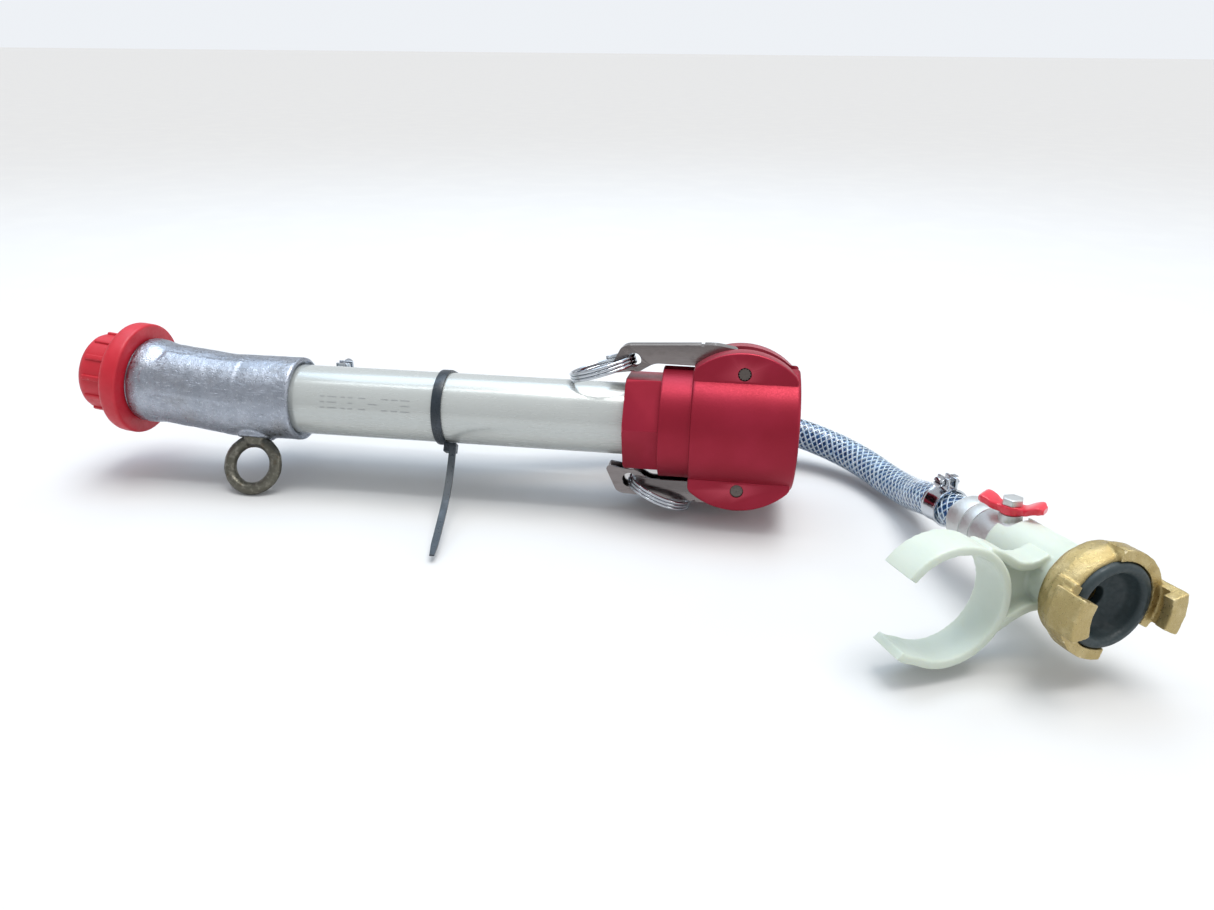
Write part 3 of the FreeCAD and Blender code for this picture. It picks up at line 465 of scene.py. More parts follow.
def rod(radius, low, high, segments=48):
    """A round bar, or a prism with few segments, along Z."""
    return extruded(arc(radius, turns(segments)), low, high)


def rectangle(x0, y0, x1, y1):
    return [(x0, y0), (x1, y0), (x1, y1), (x0, y1)]


def bridged(rings, closed=False):
    """A skin over a row of rings that have the same number of points, capped unless closed."""
    bm = bmesh.new()
    rings = [[bm.verts.new(p) for p in ring] for ring in rings]
    pairs = list(zip(rings, rings[1:] + rings[:1] if closed else rings[1:]))
    for ring, other in pairs:
        for k in range(len(ring)):
            n = (k + 1) % len(ring)
            bm.faces.new((ring[k], ring[n], other[n], other[k]))
    if not closed:
        bm.faces.new(rings[0])
        bm.faces.new(rings[-1])
    bmesh.ops.recalc_face_normals(bm, faces=bm.faces)
    return bm


def swept(points, section, closed=False, twist=None):
    """Carry a closed XY section along a line of points; twist is the section's X at the start."""
    count = len(points)
    points = [Vector(p) for p in points]
    rings = []
    side = None
    for i, point in enumerate(points):
        if closed:
            tangent = (points[(i + 1) % count] - points[i - 1]).normalized()
        else:
            tangent = (points[min(i + 1, count - 1)] - points[max(i - 1, 0)]).normalized()
        if side is None:
            side = tangent.orthogonal().normalized() if twist is None else Vector(twist)
        side = (side - tangent * side.dot(tangent)).normalized()
        over = tangent.cross(side)
        rings.append([point + side * p[0] + over * p[1] for p in section])
    return bridged(rings, closed)


def moved(bm, matrix):
    bmesh.ops.transform(bm, matrix=matrix, verts=bm.verts)
    return bm


def as_object(bm, name="work"):
    mesh = bpy.data.meshes.new(name)
    bm.to_mesh(mesh)
    bm.free()
    obj = bpy.data.objects.new(name, mesh)
    bpy.context.scene.collection.objects.link(obj)
    return obj


def applied(obj):
    """The object's mesh with its modifiers applied, as a bmesh; the object is removed."""
    graph = bpy.context.evaluated_depsgraph_get()
    graph.update()
    mesh = bpy.data.meshes.new_from_object(obj.evaluated_get(graph))
    bm = bmesh.new()
    bm.from_mesh(mesh)
    bpy.data.meshes.remove(mesh)
    bpy.data.objects.remove(obj)
    return bm


WELD = 2e-4


def combined(first, others, operation="UNION"):
    """Boolean of bmeshes; all of them are used up."""
    base = as_object(first)
    tools = [as_object(bm) for bm in others]
    for tool in tools:
        modifier = base.modifiers.new("boolean", "BOOLEAN")
        modifier.operation = operation
        modifier.solver = "EXACT"
        modifier.object = tool
    out = applied(base)
    for tool in tools:
        bpy.data.objects.remove(tool)
    bmesh.ops.remove_doubles(out, verts=out.verts, dist=WELD)
    return out


def bevelled(bm, width, segments=2, angle=30):
    obj = as_object(bm)
    modifier = obj.modifiers.new("bevel", "BEVEL")
    modifier.width = width
    modifier.segments = segments
    modifier.limit_method = "ANGLE"
    modifier.angle_limit = math.radians(angle)
    return applied(obj)


def joined(parts):
    """Put several bmeshes into one without a boolean."""
    merged = bmesh.new()
    for part in parts:
        mesh = bpy.data.meshes.new("part")
        part.to_mesh(mesh)
        part.free()
        merged.from_mesh(mesh)
        bpy.data.meshes.remove(mesh)
    return merged


def melted(parts, voxel, rounds):
    """Melt overlapping closed shapes into one moulded or cast skin, relaxed rounds times."""
    obj = as_object(joined(parts))
    remesh = obj.modifiers.new("remesh", "REMESH")
    remesh.mode = "VOXEL"
    remesh.voxel_size = voxel
    relax = obj.modifiers.new("relax", "SMOOTH")
    relax.iterations = rounds
    relax.factor = 0.5
    return applied(obj)


def displaced(bm, push):
    """Move each vertex along its normal by push(position) millimetres."""
    bm.normal_update()
    moves = [(v, v.normal * push(v.co)) for v in bm.verts]
    for vert, move in moves:
        vert.co += move
    return bm


def finish_piece(bm, name, matrix, body, finish, replaces=(), angle=32):
    """Place a millimetre bmesh in the scene as a named, riding piece."""
    mesh = bpy.data.meshes.new(name)
    bm.to_mesh(mesh)
    bm.free()
    mesh.transform(Matrix.Scale(MM, 4) @ matrix)
    mesh.polygons.foreach_set("use_smooth", [True] * len(mesh.polygons))
    if angle:
        mesh.set_sharp_from_angle(angle=math.radians(angle))
    obj = bpy.data.objects.new(name, mesh)
    bpy.context.scene.collection.objects.link(obj)
    material, slot = FINISHES[finish]
    mesh.materials.append(material)
    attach(obj, body)
    if replaces:
        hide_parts(*replaces)
    return obj


def smooth(value, low, high):
    """0 below low, 1 above high, and a soft step between; high may be the smaller."""
    t = min(1.0, max(0.0, (value - low) / (high - low)))
    return t * t * (3 - 2 * t)


def dress(node, finish):
    """Give a CAD node that keeps its shape a finished material."""
    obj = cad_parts[node]
    obj.data.materials.clear()
    obj.data.materials.append(FINISHES[finish][0])


# ---- camera, light and floor -------------------------------

SENSOR = 36
LENS = 25.98
CAMERA_PLACE = Vector((-35.2, -374.1, 156.6))
FLOOR_Z = -41.8
FLOOR_HALF = 30.0
SKY_LIGHT = 0.66
SKY_SEEN = 0.92


def build_stage():
    build_camera()
    build_floor()
    build_sky()
    build_lamps()


def build_camera():
    camera = bpy.data.objects.new("camera", bpy.data.cameras.new("camera"))
    camera.data.sensor_width = SENSOR
    camera.data.lens = LENS
    camera.data.clip_start = 0.01
    camera.matrix_world = axes(
        CAMERA_PLACE * MM,
        (0.9904, 0.1379, 0.0081), (-0.0655, 0.4176, 0.9063), (0.1216, -0.8981, 0.4226))
    bpy.context.scene.collection.objects.link(camera)
    bpy.context.scene.camera = camera


def build_floor():
    bm = bmesh.new()
    bmesh.ops.create_grid(bm, x_segments=2, y_segments=2, size=FLOOR_HALF)
    floor = as_object(bm, "floor")
    floor.location = (0, 0, FLOOR_Z * MM)
    paper = Finish("paper_floor", (0.66, 0.66, 0.66), 0.8, Specular_IOR_Level=0.1)
    paper.tint(paper.ramp(paper.noise(60.0, 2.0), 0.4, 0.7), (0.68, 0.68, 0.675), 0.6)
    paper.bump(paper.noise(2.0, 3.0), 0.01)
    floor.data.materials.append(paper.material)


def build_sky():
    """A pale sky that is a little brighter to look at than the light it gives."""
    world = bpy.data.worlds.new("studio")
    world.use_nodes = True
    nodes = world.node_tree.nodes
    links = world.node_tree.links
    background = nodes["Background"]
    background.inputs["Color"].default_value = (0.93, 0.96, 1.0, 1.0)
    brighter = nodes.new("ShaderNodeMapRange")
    brighter.inputs["To Min"].default_value = SKY_LIGHT
    brighter.inputs["To Max"].default_value = SKY_SEEN
    links.new(nodes.new("ShaderNodeLightPath").outputs["Is Camera Ray"], brighter.inputs["Value"])
    links.new(brighter.outputs["Result"], background.inputs["Strength"])
    bpy.context.scene.world = world
    bpy.context.scene.view_settings.view_transform = "Standard"


def build_lamps():
    sun = bpy.data.lights.new("sun", "SUN")
    sun.energy = 1.95
    sun.angle = math.radians(35)
    sun.color = (1.0, 0.98, 0.95)
    add_lamp(sun, (0.15, 0.10, 1.0), (0, 0, 0))
    panels = [
        ("window", (-0.25, 0.45, 0.90), (-0.10, 0.0, 0.0), (1.2, 0.5), 5.0, (0.62, 0.80, 1.0)),
        ("strip", (-0.15, -0.10, 0.90), (-0.15, 0.0, 0.0), (1.3, 0.06), 1.6, (0.90, 0.96, 1.0)),
        ("side", (0.95, -0.25, 0.45), (0.02, -0.05, 0.0), (0.3, 0.4), 1.2, (1.0, 1.0, 1.0)),
    ]
    for name, place, target, size, power, color in panels:
        data = bpy.data.lights.new(name, "AREA")
        data.shape = "RECTANGLE"
        data.size, data.size_y = size
        data.energy = power
        data.color = color
        add_lamp(data, place, target)


def add_lamp(data, place, target):
    lamp = bpy.data.objects.new(data.name, data)
    lamp.location = place
    lamp.rotation_euler = (Vector(place) - Vector(target)).to_track_quat("Z", "Y").to_euler()
    bpy.context.scene.collection.objects.link(lamp)


# ---- pipe and spray head -----------------------------------

PRINT_START = -219.0
PRINT_END = -180.0
PRINT_ROLL = 70
INK_HALF = 0.22
SLEEVE_R = 20
BOSS_R = 9
THREAD_CRESTS = 3
THREAD_PITCH = 1.9


def build_pipe():
    ends = [(0, PIPE_BORE_R), (0, PIPE_R), (PIPE_LENGTH, PIPE_R), (PIPE_LENGTH, PIPE_BORE_R)]
    finish_piece(lathe(ends, 0.5, 128), "steel_pipe", along_x(PIPE_BACK), "lance", "pipe", ("pipe",))
    marks = []
    rng = random.Random(4)
    x = PRINT_START
    while x < PRINT_END:
        length = rng.choice((2.2, 3.2, 4.4))
        rows = rng.choice(((-2.6, 2.6), (-2.6, 0.0, 2.6), (0.0,)))
        for row in rows:
            marks.append(printed_dash(x, length, row))
        x += length + rng.choice((1.4, 2.0, 3.0))
    finish_piece(joined(marks), "printed_marks", Matrix(), "lance", "ink")


def printed_dash(x, length, row):
    """A raised dash of ink on the pipe, row millimetres round it from the line of print."""
    dash = extruded(rectangle(PIPE_R - 0.03, -INK_HALF, PIPE_R + 0.04, INK_HALF), 0, length)
    upright = axes((x, 0, 0), (0, 0, 1), (0, -1, 0), (1, 0, 0))
    return moved(dash, Matrix.Rotation(math.radians(PRINT_ROLL) - row / PIPE_R, 4, "X") @ upright)


def build_head():
    sleeve = lathe([(0, 0), (0, SLEEVE_R), (34.2, SLEEVE_R), (35, 19.4), (35, 0)], 0.6)
    moved(sleeve, along_x(BEND_X))
    neck_outline = [(-3, 0), (-3, 19.9), (14, 19.6), (34, 19.4), (40, 20.6), (45.9, 20.4), (45.9, 0)]
    neck = moved(lathe(neck_outline, 1.5), HEAD)
    knuckle = bmesh.new()
    bmesh.ops.create_uvsphere(knuckle, u_segments=64, v_segments=32, radius=19.95)
    moved(knuckle, Matrix.Translation((BEND_X, 0, 0)))
    boss_x = HEAD_FACE - 26
    boss = lathe([(-8, 0), (-8, 5), (-5, BOSS_R), (21.8, BOSS_R), (21.8, 0)], 1.6)
    moved(boss, along_x(boss_x, 25.2, -2))
    web = extruded(rectangle(-7, -12, 20, 12), -9, 5)
    moved(web, Matrix.Translation((boss_x, 13, 0)))
    pad = moved(rod(8.5, 16, 20.9), EYE)
    skin = melted([sleeve, neck, knuckle, boss, web, pad], 0.75, 5)

    def relief(p):
        """The casting's raised panel with a wavy edge, and its uneven skin."""
        around = math.degrees(math.atan2(-p.y, p.z))
        edge = -303 + 4.0 * math.sin(around * 0.09)
        plateau = smooth(p.x, edge, edge + 0.9) - smooth(p.x, -262.0, -260.5)
        band = smooth(around, 12, 15) - smooth(around, 74 + 0.25 * (p.x + 285), 77 + 0.25 * (p.x + 285))
        uneven = noise.noise(p * 0.14) * 0.22 + noise.noise(p * 0.5) * 0.07
        return 0.35 * plateau * band + uneven

    displaced(skin, relief)
    socket = [(0, 0), (0, SOCKET_R), (16.8, SOCKET_R), (17.8, 18.4), (30, 18.4), (30, 0)]
    bores = [
        moved(lathe(socket, 0), along_x(PIPE_BACK)),
        moved(rod(PIPE_BORE_R, -4, 60, 64), HEAD),
        moved(rod(PIPE_BORE_R, 0, 40, 64), along_x(BEND_X - 2)),
    ]
    skin = combined(skin, bores, "DIFFERENCE")
    finish_piece(skin, "cast_head", Matrix(), "lance", "cast", ("head_casting",), 40)
    crests = []
    for k in range(THREAD_CRESTS):
        crests += [(46.0 + THREAD_PITCH * k, 18.2), (46.9 + THREAD_PITCH * k, 19.0)]
    thread = lathe([(45.5, 13.4), (45.5, 18.2)] + crests + [(52, 18.2), (52, 13.4)], 0.1)
    finish_piece(thread, "head_thread", HEAD, "lance", "cast")


CAP_PLACE = 46.3
CAP_FLANGE_R = 27
CAP_R = 18.9
CAP_RIBS = 12


def build_nozzle():
    outline = [
        (0, 19.1), (0, CAP_FLANGE_R, 1.4), (9.2, CAP_FLANGE_R, 4.6), (9.2, CAP_R, 0.9), (25.7, CAP_R, 6.5),
        (25.7, 7.4, 0.8), (22.7, 6), (19.8, 6), (19.8, 13.3), (6.8, 13.3), (6.8, 19.1),
    ]
    shell = lathe(outline, 0.3, 144, 5)
    ribs = []
    for k in range(CAP_RIBS):
        bar = extruded(soft(rectangle(CAP_R - 1.3, -1.3, CAP_R + 0.9, 1.3), 0.7, 3), 8.6, 21.4)
        turn = Matrix.Rotation(2 * math.pi * (k + 0.4) / CAP_RIBS, 4, "Z")
        ribs.append(moved(bevelled(bar, 0.5, 3), turn))
    cap = combined(shell, [joined(ribs)])
    finish_piece(cap, "ribbed_cap", shifted(HEAD, z=CAP_PLACE), "cap", "red_plastic", ("nozzle_cap",))


EYE_MIDDLE = 33.8
EYE_R = 11.6
EYE_WIRE_HALF = 2.8


def build_eye_bolt():
    section = soft(rectangle(-EYE_WIRE_HALF, -EYE_WIRE_HALF, EYE_WIRE_HALF, EYE_WIRE_HALF), 2.4, 5)
    ring = swept([(x, 0, EYE_MIDDLE + z) for x, z in arc(EYE_R, turns(72))], section, closed=True)
    neck = lathe([(19, 0), (19, 6.2), (21.5, 5.2), (24.5, 4.0), (24.5, 0)], 1.0, 48)
    bolt = melted([ring, neck], 0.45, 6)
    displaced(bolt, lambda p: 0.12 * noise.noise(p * 0.4))
    finish_piece(bolt, "eye_ring", EYE, "lance", "eye_steel", ("eye_bolt",), 0)


# ---- coupling ----------------------------------------------

PIN_X = -24.5
PIN_S = 26.3
PIN_R = 2.9
BARREL_R = 28.4
COLLAR_R = 25.5
HEX_HALF = 20.5
MOUTH_R = 18.5
EAR_HALF = 17.6
EAR_LENGTH = 46.5
EAR_SET_BACK = 1.2


def side_view(outline, half):
    """A prism of an (X, outward) outline of the coupling, half to each side along the pin."""
    return moved(extruded(outline, -half, half), Matrix.Rotation(math.radians(90), 4, "X"))


def flipped(side):
    """The upper arm's side of the coupling, or the lower arm's when side is negative."""
    return COUPLING @ Matrix.Rotation(math.radians(0 if side > 0 else 180), 4, "X")


def build_coupling():
    barrel = moved(lathe([
        (-60.5, 0), (-60.5, COLLAR_R, 0.8), (-EAR_LENGTH, COLLAR_R, 0.6), (-EAR_LENGTH, BARREL_R, 1.1),
        (0, BARREL_R, 1.8), (0, 0),
    ], 0.5, 144, 4), along_x(0))
    hexagon = extruded(arc(HEX_HALF / math.cos(math.radians(30)), turns(6, 90)), -76.6, -60)
    trim = lathe([(-78, 0), (-78, 20.6), (-75.9, 23.6), (-60, 23.6), (-60, 0)], 0, 96)
    nut = combined(hexagon, [trim], "INTERSECT")
    nut = moved(bevelled(nut, 0.7, 3), COUPLING @ along_x(0))
    ears = []
    for side in (1, -1):
        ear = bevelled(side_view(lobe_outline(), EAR_HALF), 0.9, 3)
        ears.append(moved(ear, flipped(side)))
    body = combined(barrel, [nut] + ears)
    bores = [
        moved(rod(SOCKET_R, -78, PIPE_BACK + PIPE_LENGTH, 96), along_x(0)),
        moved(lathe([
            (-60, 0), (-60, PIPE_BORE_R), (-43.8, PIPE_BORE_R), (-43.8, 20), (-37.5, 20), (-37.5, 19.2),
            (-15, 19.2), (-15, MOUTH_R), (-0.8, MOUTH_R), (1, 20.2), (1, 0),
        ], 0, 128), along_x(0)),
    ]
    for side in (1, -1):
        slot = extruded(rectangle(-5.2, -60, 5.2, 2), 22.6, 45)
        bores.append(moved(slot, flipped(side) @ Matrix.Rotation(math.radians(-90), 4, "Z")))
        window = extruded(rectangle(-34.6, -5.2, -15.2, 5.2), 12, 24)
        bores.append(moved(window, flipped(side)))
        hole = rod(PIN_R + 0.05, -20, 20)
        bores.append(moved(hole, flipped(side) @ along_y(PIN_X, 0, PIN_S)))
    body = combined(body, bores, "DIFFERENCE")
    finish_piece(body, "coupling_shell", Matrix(), "lance", "anodised", ("coupling_body",), 28)


def lobe_outline():
    """Side of an ear: the arc over the pin, closed through the barrel."""
    points = []
    for x, s in arc(32.5, turns(40, 172, -164)):
        points.append((min(-EAR_SET_BACK, max(-EAR_LENGTH, x - 25)), s + 3.1))
    return points + [(-EAR_SET_BACK, 4), (-EAR_LENGTH, 4)]


ARM_HALF = 5
ARM_WALL = 1.4
RING_HOLE_X = PIN_X - 49.5
RING_HOLE_S = PIN_S + 1.8


def arm_outline():
    """Side of the cam arm, from the pin's back over the top to the tip and along the belly."""
    x, s = PIN_X, PIN_S
    return [
        (x - 2.0, s + 8.6, 2.5), (x - 13, s + 10.4, 3.0), (x - 53, s + 8.4, 2.4), (x - 55.6, s + 7.2, 1.2),
        (x - 60.6, s - 3.0, 1.2), (x - 59.6, s - 4.6, 0.8), (x - 50, s - 3.2, 4), (x - 47, s - 3.4, 3),
        (x - 44, s - 1.4, 3), (x - 40, s + 0.9, 3), (x - 7, s + 0.6, 1),
    ]


def build_arm(name, side):
    x, s = PIN_X, PIN_S
    shell = side_view(soft(arm_outline(), 1.0, 5), ARM_HALF)
    hollow = [
        (x - 12, s + 9.0), (x - 52.6, s + 7.0), (x - 54.4, s + 5.8), (x - 60.5, s - 8), (x - 12, s - 8),
    ]
    cavity = side_view(hollow, ARM_HALF - ARM_WALL)
    head = moved(rod(7.0, -ARM_HALF, ARM_HALF, 64), along_y(x, 0, s))
    lobe = moved(rod(5.4, -ARM_HALF, ARM_HALF, 64), along_y(x, 0, s - 3.4))
    arm = combined(combined(shell, [cavity], "DIFFERENCE"), [head, lobe])
    tools = [
        moved(rod(PIN_R + 0.06, -9, 9, 48), along_y(x, 0, s)),
        moved(rod(3.3, -9, 9, 48), along_y(RING_HOLE_X, 0, RING_HOLE_S)),
        side_view([(x - 19.6, s + 9.4), (x - 18.4, s + 9.4), (x - 17.6, s + 12), (x - 20.4, s + 12)], 6),
    ]
    arm = bevelled(combined(arm, tools, "DIFFERENCE"), 0.45, 3, 35)
    body = "upper_arm" if side > 0 else "lower_arm"
    finish_piece(arm, "lever_" + name, flipped(side), body, "arm_steel_painted_reflection", ("cam_arm_" + name,), 30)


def build_pin(name, side, knurled):
    low, high = 0.5, 34.5
    if knurled:
        teeth = zip(arc(PIN_R, turns(26)), arc(PIN_R - 0.7, turns(26)))
        shaft = extruded([pair[k % 2] for k, pair in enumerate(teeth)], low, high)
    else:
        shaft = lathe([(low, 0), (low, PIN_R), (high, PIN_R), (high, 0)], 0.4, 48)
    place = COUPLING @ along_y(PIN_X, -EAR_HALF, side * PIN_S)
    finish_piece(shaft, "hinge_pin_" + name, place, "lance", "pin_steel", ("cam_pin_" + name,))


RING_R = 15.2
RING_WIRE_R = 0.78
RING_WINDS = 2.9


def build_ring(name, side, swing):
    """A split ring: one wire wound nearly three times, each turn lying on the last."""
    points = []
    steps = int(72 * RING_WINDS)
    for k in range(steps + 1):
        t = k / steps
        a = 2 * math.pi * RING_WINDS * t + 2.2
        climb = (t - 0.5) * 2 * RING_WIRE_R * RING_WINDS * 0.98
        points.append((RING_R * math.cos(a), RING_R * math.sin(a), climb))
    wire = swept(points, arc(RING_WIRE_R, turns(12)))
    hole = Matrix.Translation((RING_HOLE_X, 0, side * RING_HOLE_S))
    place = shifted(COUPLING @ hole @ Matrix.Rotation(math.radians(swing), 4, "Y"), -RING_R)
    body = "upper_ring" if side > 0 else "lower_ring"
    finish_piece(wire, "split_ring_" + name, place, body, "chrome", ("pull_ring_" + name,), 0)


# ---- cable tie ---------------------------------------------


TIE_X = -163.0
TIE_ROLL = math.radians(232)
HOSE_IN_TIE = Vector((25.4, -3.8))


def build_cable_tie():
    """A strap round the pipe and the hose, with its lock and free end."""
    big, small = PIPE_R + 0.65, HOSE_R + 1.1
    base = math.degrees(math.atan2(HOSE_IN_TIE.y, HOSE_IN_TIE.x))
    opening = math.degrees(math.acos((big - small) / HOSE_IN_TIE.length))
    loop = [(0, y, z) for y, z in arc(big, turns(44, base + opening, 360 - 2 * opening))]
    for y, z in arc(small, turns(20, base - opening, 2 * opening)):
        loop.append((0, HOSE_IN_TIE.x + y, HOSE_IN_TIE.y + z))
    section = soft(rectangle(-2.3, -0.6, 2.3, 0.6), 0.35, 2)
    band = swept(loop, section, closed=True, twist=(1, 0, 0))
    finish_piece(band, "tie_band", Matrix.Translation((TIE_X, 0, 0)), "lance", "nylon", ("cable_tie",), 40)
    across, up = math.cos(TIE_ROLL), math.sin(TIE_ROLL)
    lock_place = axes(
        (TIE_X + 4.5, (PIPE_R + 1.2) * across, (PIPE_R + 1.2) * up),
        (1, 0, 0), (0, -up, across), (0, across, up))
    lock = extruded(soft(rectangle(-2.9, -2.7, 2.9, 2.7), 0.8, 3), -0.4, 3.8)
    finish_piece(bevelled(lock, 0.5, 3), "tie_lock", lock_place, "lance", "nylon")
    build_tie_tail()


def build_tie_tail():
    """The strap's free end: smooth, then toothed, then a thinner and narrower tip."""
    keys = [(-1.5, -13.0), (-8, -19.5), (-19, -27), (-33, -33), (-57, -38.5)]
    curve = nurbs_line([Vector((0, y, z)) for y, z in keys], 48)
    rings = []
    travelled = 0.0
    for i, point in enumerate(curve):
        tangent = (curve[min(i + 1, len(curve) - 1)] - curve[max(i - 1, 0)]).normalized()
        normal = Vector((1, 0, 0)).cross(tangent)
        if i:
            travelled += (point - curve[i - 1]).length
        width = 1.6 - 0.6 * smooth(travelled, 54, 64)
        toothed = smooth(travelled, 26, 28) - smooth(travelled, 46, 48)
        tooth = 0.55 * toothed * (0.5 + 0.5 * math.sin(travelled * 2 * math.pi / 1.7))
        half = 0.62 - 0.2 * smooth(travelled, 46, 50)
        corners = ((-1, -half), (1, -half), (1, half - tooth), (-1, half - tooth))
        rings.append([point + Vector((side * width, 0, 0)) + normal * up for side, up in corners])
    place = Matrix.Translation((TIE_X + 6.5, -13.5, 0)) @ Matrix.Rotation(math.radians(6), 4, "Z")
    finish_piece(bridged(rings), "tie_tail", place, "lance", "nylon", (), 40)


def nurbs_line(points, resolution):
    """The points of a smooth line, as Blender's NURBS gives them for the controls."""
    curve = nurbs_curve("route", points, resolution)
    mesh = bpy.data.meshes.new_from_object(curve)
    line = [v.co.copy() for v in mesh.vertices]
    data = curve.data
    bpy.data.objects.remove(curve)
    bpy.data.curves.remove(data)
    bpy.data.meshes.remove(mesh)
    return line


def nurbs_curve(name, points, resolution):
    """A curve object of one open smooth spline with these control points."""
    data = bpy.data.curves.new(name, "CURVE")
    data.dimensions = "3D"
    spline = data.splines.new("NURBS")
    spline.points.add(len(points) - 1)
    for control, point in zip(spline.points, points):
        control.co = (*point, 1.0)
    spline.order_u = 3
    spline.use_endpoint_u = True
    spline.resolution_u = resolution
    obj = bpy.data.objects.new(name, data)
    bpy.context.scene.collection.objects.link(obj)
    return obj


# ---- air hose and fittings ---------------------------------

HOSE_ROUTE = [
    (-232.0, 25.2, -2.0),
    (-202.0, 25.2, -2.0),
    (-170.0, 25.0, -3.2),
    (-137.0, 26.6, -5.6),
    (-104.0, 35.3, -8.9),
    (-72.0, 42.1, -12.4),
    (-41.3, 48.3, -17.4),
    (-2.3, 57.9, -22.8),
    (33.4, 43.6, -29.8),
    (54.9, 10.5, -33.3),
    tuple(CLAW_FRONT - CLAW_AXIS * 91.7),
    tuple(CLAW_FRONT - CLAW_AXIS * 76.5),
]
BRAID_R = 6.45
BRAID_PITCH = 34.0
BRAID_THREADS = 10


def build_hose():
    outer = nurbs_curve("air_hose_wall", [Vector(p) * MM for p in HOSE_ROUTE], 16)
    outer.data.bevel_depth = HOSE_R * MM
    outer.data.bevel_resolution = 10
    outer.data.use_fill_caps = True
    material, slot = FINISHES["hose_wall"]
    outer.data.materials.append(material)
    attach(outer, "lance")
    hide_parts("air_hose")
    line = nurbs_line([Vector(p) for p in HOSE_ROUTE], 36)
    core = swept(line[::2], arc(5.7, turns(32)))
    core = finish_piece(core, "air_hose_core", Matrix(), "lance", "hose_core", (), 0)
    braid = finish_piece(braid_strands(line), "air_hose_braid", Matrix(), "lance", "braid", (), 0)


def braid_strands(line):
    """Threads wound both ways in the hose's wall."""
    frames = []
    side = Vector((0, 0, 1))
    travelled = 0.0
    for i, point in enumerate(line):
        tangent = (line[min(i + 1, len(line) - 1)] - line[max(i - 1, 0)]).normalized()
        side = (side - tangent * side.dot(tangent)).normalized()
        if i:
            travelled += (point - line[i - 1]).length
        frames.append((point, side.copy(), tangent.cross(side), travelled))
    strands = []
    for way in (1, -1):
        reach = BRAID_R + 0.16 * way
        for offset in turns(BRAID_THREADS):
            points = []
            for point, u, v, along in frames:
                a = offset + way * 2 * math.pi * along / BRAID_PITCH
                points.append(point + (u * math.cos(a) + v * math.sin(a)) * reach)
            strands.append(swept(points, [(0.52, 0), (0, 0.34), (-0.52, 0), (0, -0.34)]))
    return joined(strands)


def hose_end(tip, inner):
    """A frame at the hose's tip, Z pointing out of it."""
    outward = (Vector(tip) - Vector(inner)).normalized()
    side = Vector((0, 0, 1)).cross(outward).normalized()
    return axes(tip, side, outward.cross(side), outward)


CLAMP_IN = HOSE_R + 0.05
CLAMP_OUT = HOSE_R + 0.95
CLAMP_WIDTH = 9


def build_clamp(name, place, set_back):
    """A band clamp: rolled edges, two upturned ears and a cross screw."""
    at = shifted(place, z=-set_back)
    near = [(0, CLAMP_IN), (0, CLAMP_OUT), (0.7, CLAMP_OUT), (1.0, 8.2)]
    far = [(8.0, 8.2), (8.3, CLAMP_OUT), (CLAMP_WIDTH, CLAMP_OUT), (CLAMP_WIDTH, CLAMP_IN)]
    band = lathe(near + far, 0.15, 72, 2)
    slit = extruded(rectangle(-1.3, 5, 1.3, 20), -1, 10)
    band = combined(band, [slit], "DIFFERENCE")
    ears = []
    for side in (1, -1):
        outline = [(side * 1.3, 7.4), (side * 2.5, 7.6), (side * 2.5, 13.0), (side * 1.3, 13.0)]
        ear = extruded(soft(outline, 0.4, 3), 1.0, 8.0)
        ears.append(bevelled(ear, 0.3, 2))
    clamp = joined([band] + ears)
    strap = finish_piece(clamp, name + "_strap", at, "lance", "chrome", (name + "_band",))
    screw_place = at @ Matrix.Translation((-5.2, 10.9, 4.5)) @ Matrix.Rotation(math.radians(90), 4, "Y")
    screw = lathe([(0, 0), (0, 2.3), (2.4, 2.3), (2.4, 1.48), (9.5, 1.48), (9.5, 0)], 0.3, 36)
    slot = extruded(rectangle(-3, -0.35, 3, 0.35), -1, 0.9)
    nut = extruded(soft(arc(2.6, turns(6)), 0.2, 2), 7.4, 9.2)
    screw = joined([combined(screw, [slot], "DIFFERENCE"), nut])
    bolt = finish_piece(screw, name + "_bolt", screw_place, "lance", "chrome", (name + "_screw",))
    return strap, bolt


VALVE_BACK = -76.5
VALVE_R = 10.2
VALVE_BORE_R = 6.4
STEM_Z = -50
STEM_HOLE_R = 2.02
LEVER_TURN = 33
LEVER_HALF = 11.8


def build_valve():
    grooves = []
    for z in (10.6, 16.2):
        grooves += [(z, VALVE_R, 0.25), (z + 0.15, 9.75), (z + 0.5, 9.75), (z + 0.65, VALVE_R, 0.25)]
    back = [(3, VALVE_BORE_R), (3, 9.5), (3.7, VALVE_R)]
    front = [(41, VALVE_R), (41, 3.5), (37.5, 3.5), (37.5, VALVE_BORE_R)]
    shell = lathe(back + grooves + front, 0.05, 96, 2)
    tower = moved(lathe([(7, 0), (7, 4.6), (12.4, 4.2), (12.4, 0)], 0.4, 48), stem_frame())
    shell = combined(shell, [moved(tower, Matrix.Translation((0, 0, -VALVE_BACK)))])
    hole = moved(rod(STEM_HOLE_R + 0.04, 5, 16, 32), stem_frame())
    shell = combined(shell, [moved(hole, Matrix.Translation((0, 0, -VALVE_BACK)))], "DIFFERENCE")
    place = shifted(CLAW, z=VALVE_BACK)
    return finish_piece(shell, "valve_shell", place, "lance", "nickel", ("valve_body",))


def stem_frame():
    """The valve stem's frame within the claw frame: Z up through the valve's middle."""
    return Matrix.Translation((0, 0, STEM_Z)) @ Matrix.Rotation(math.radians(-90), 4, "X")


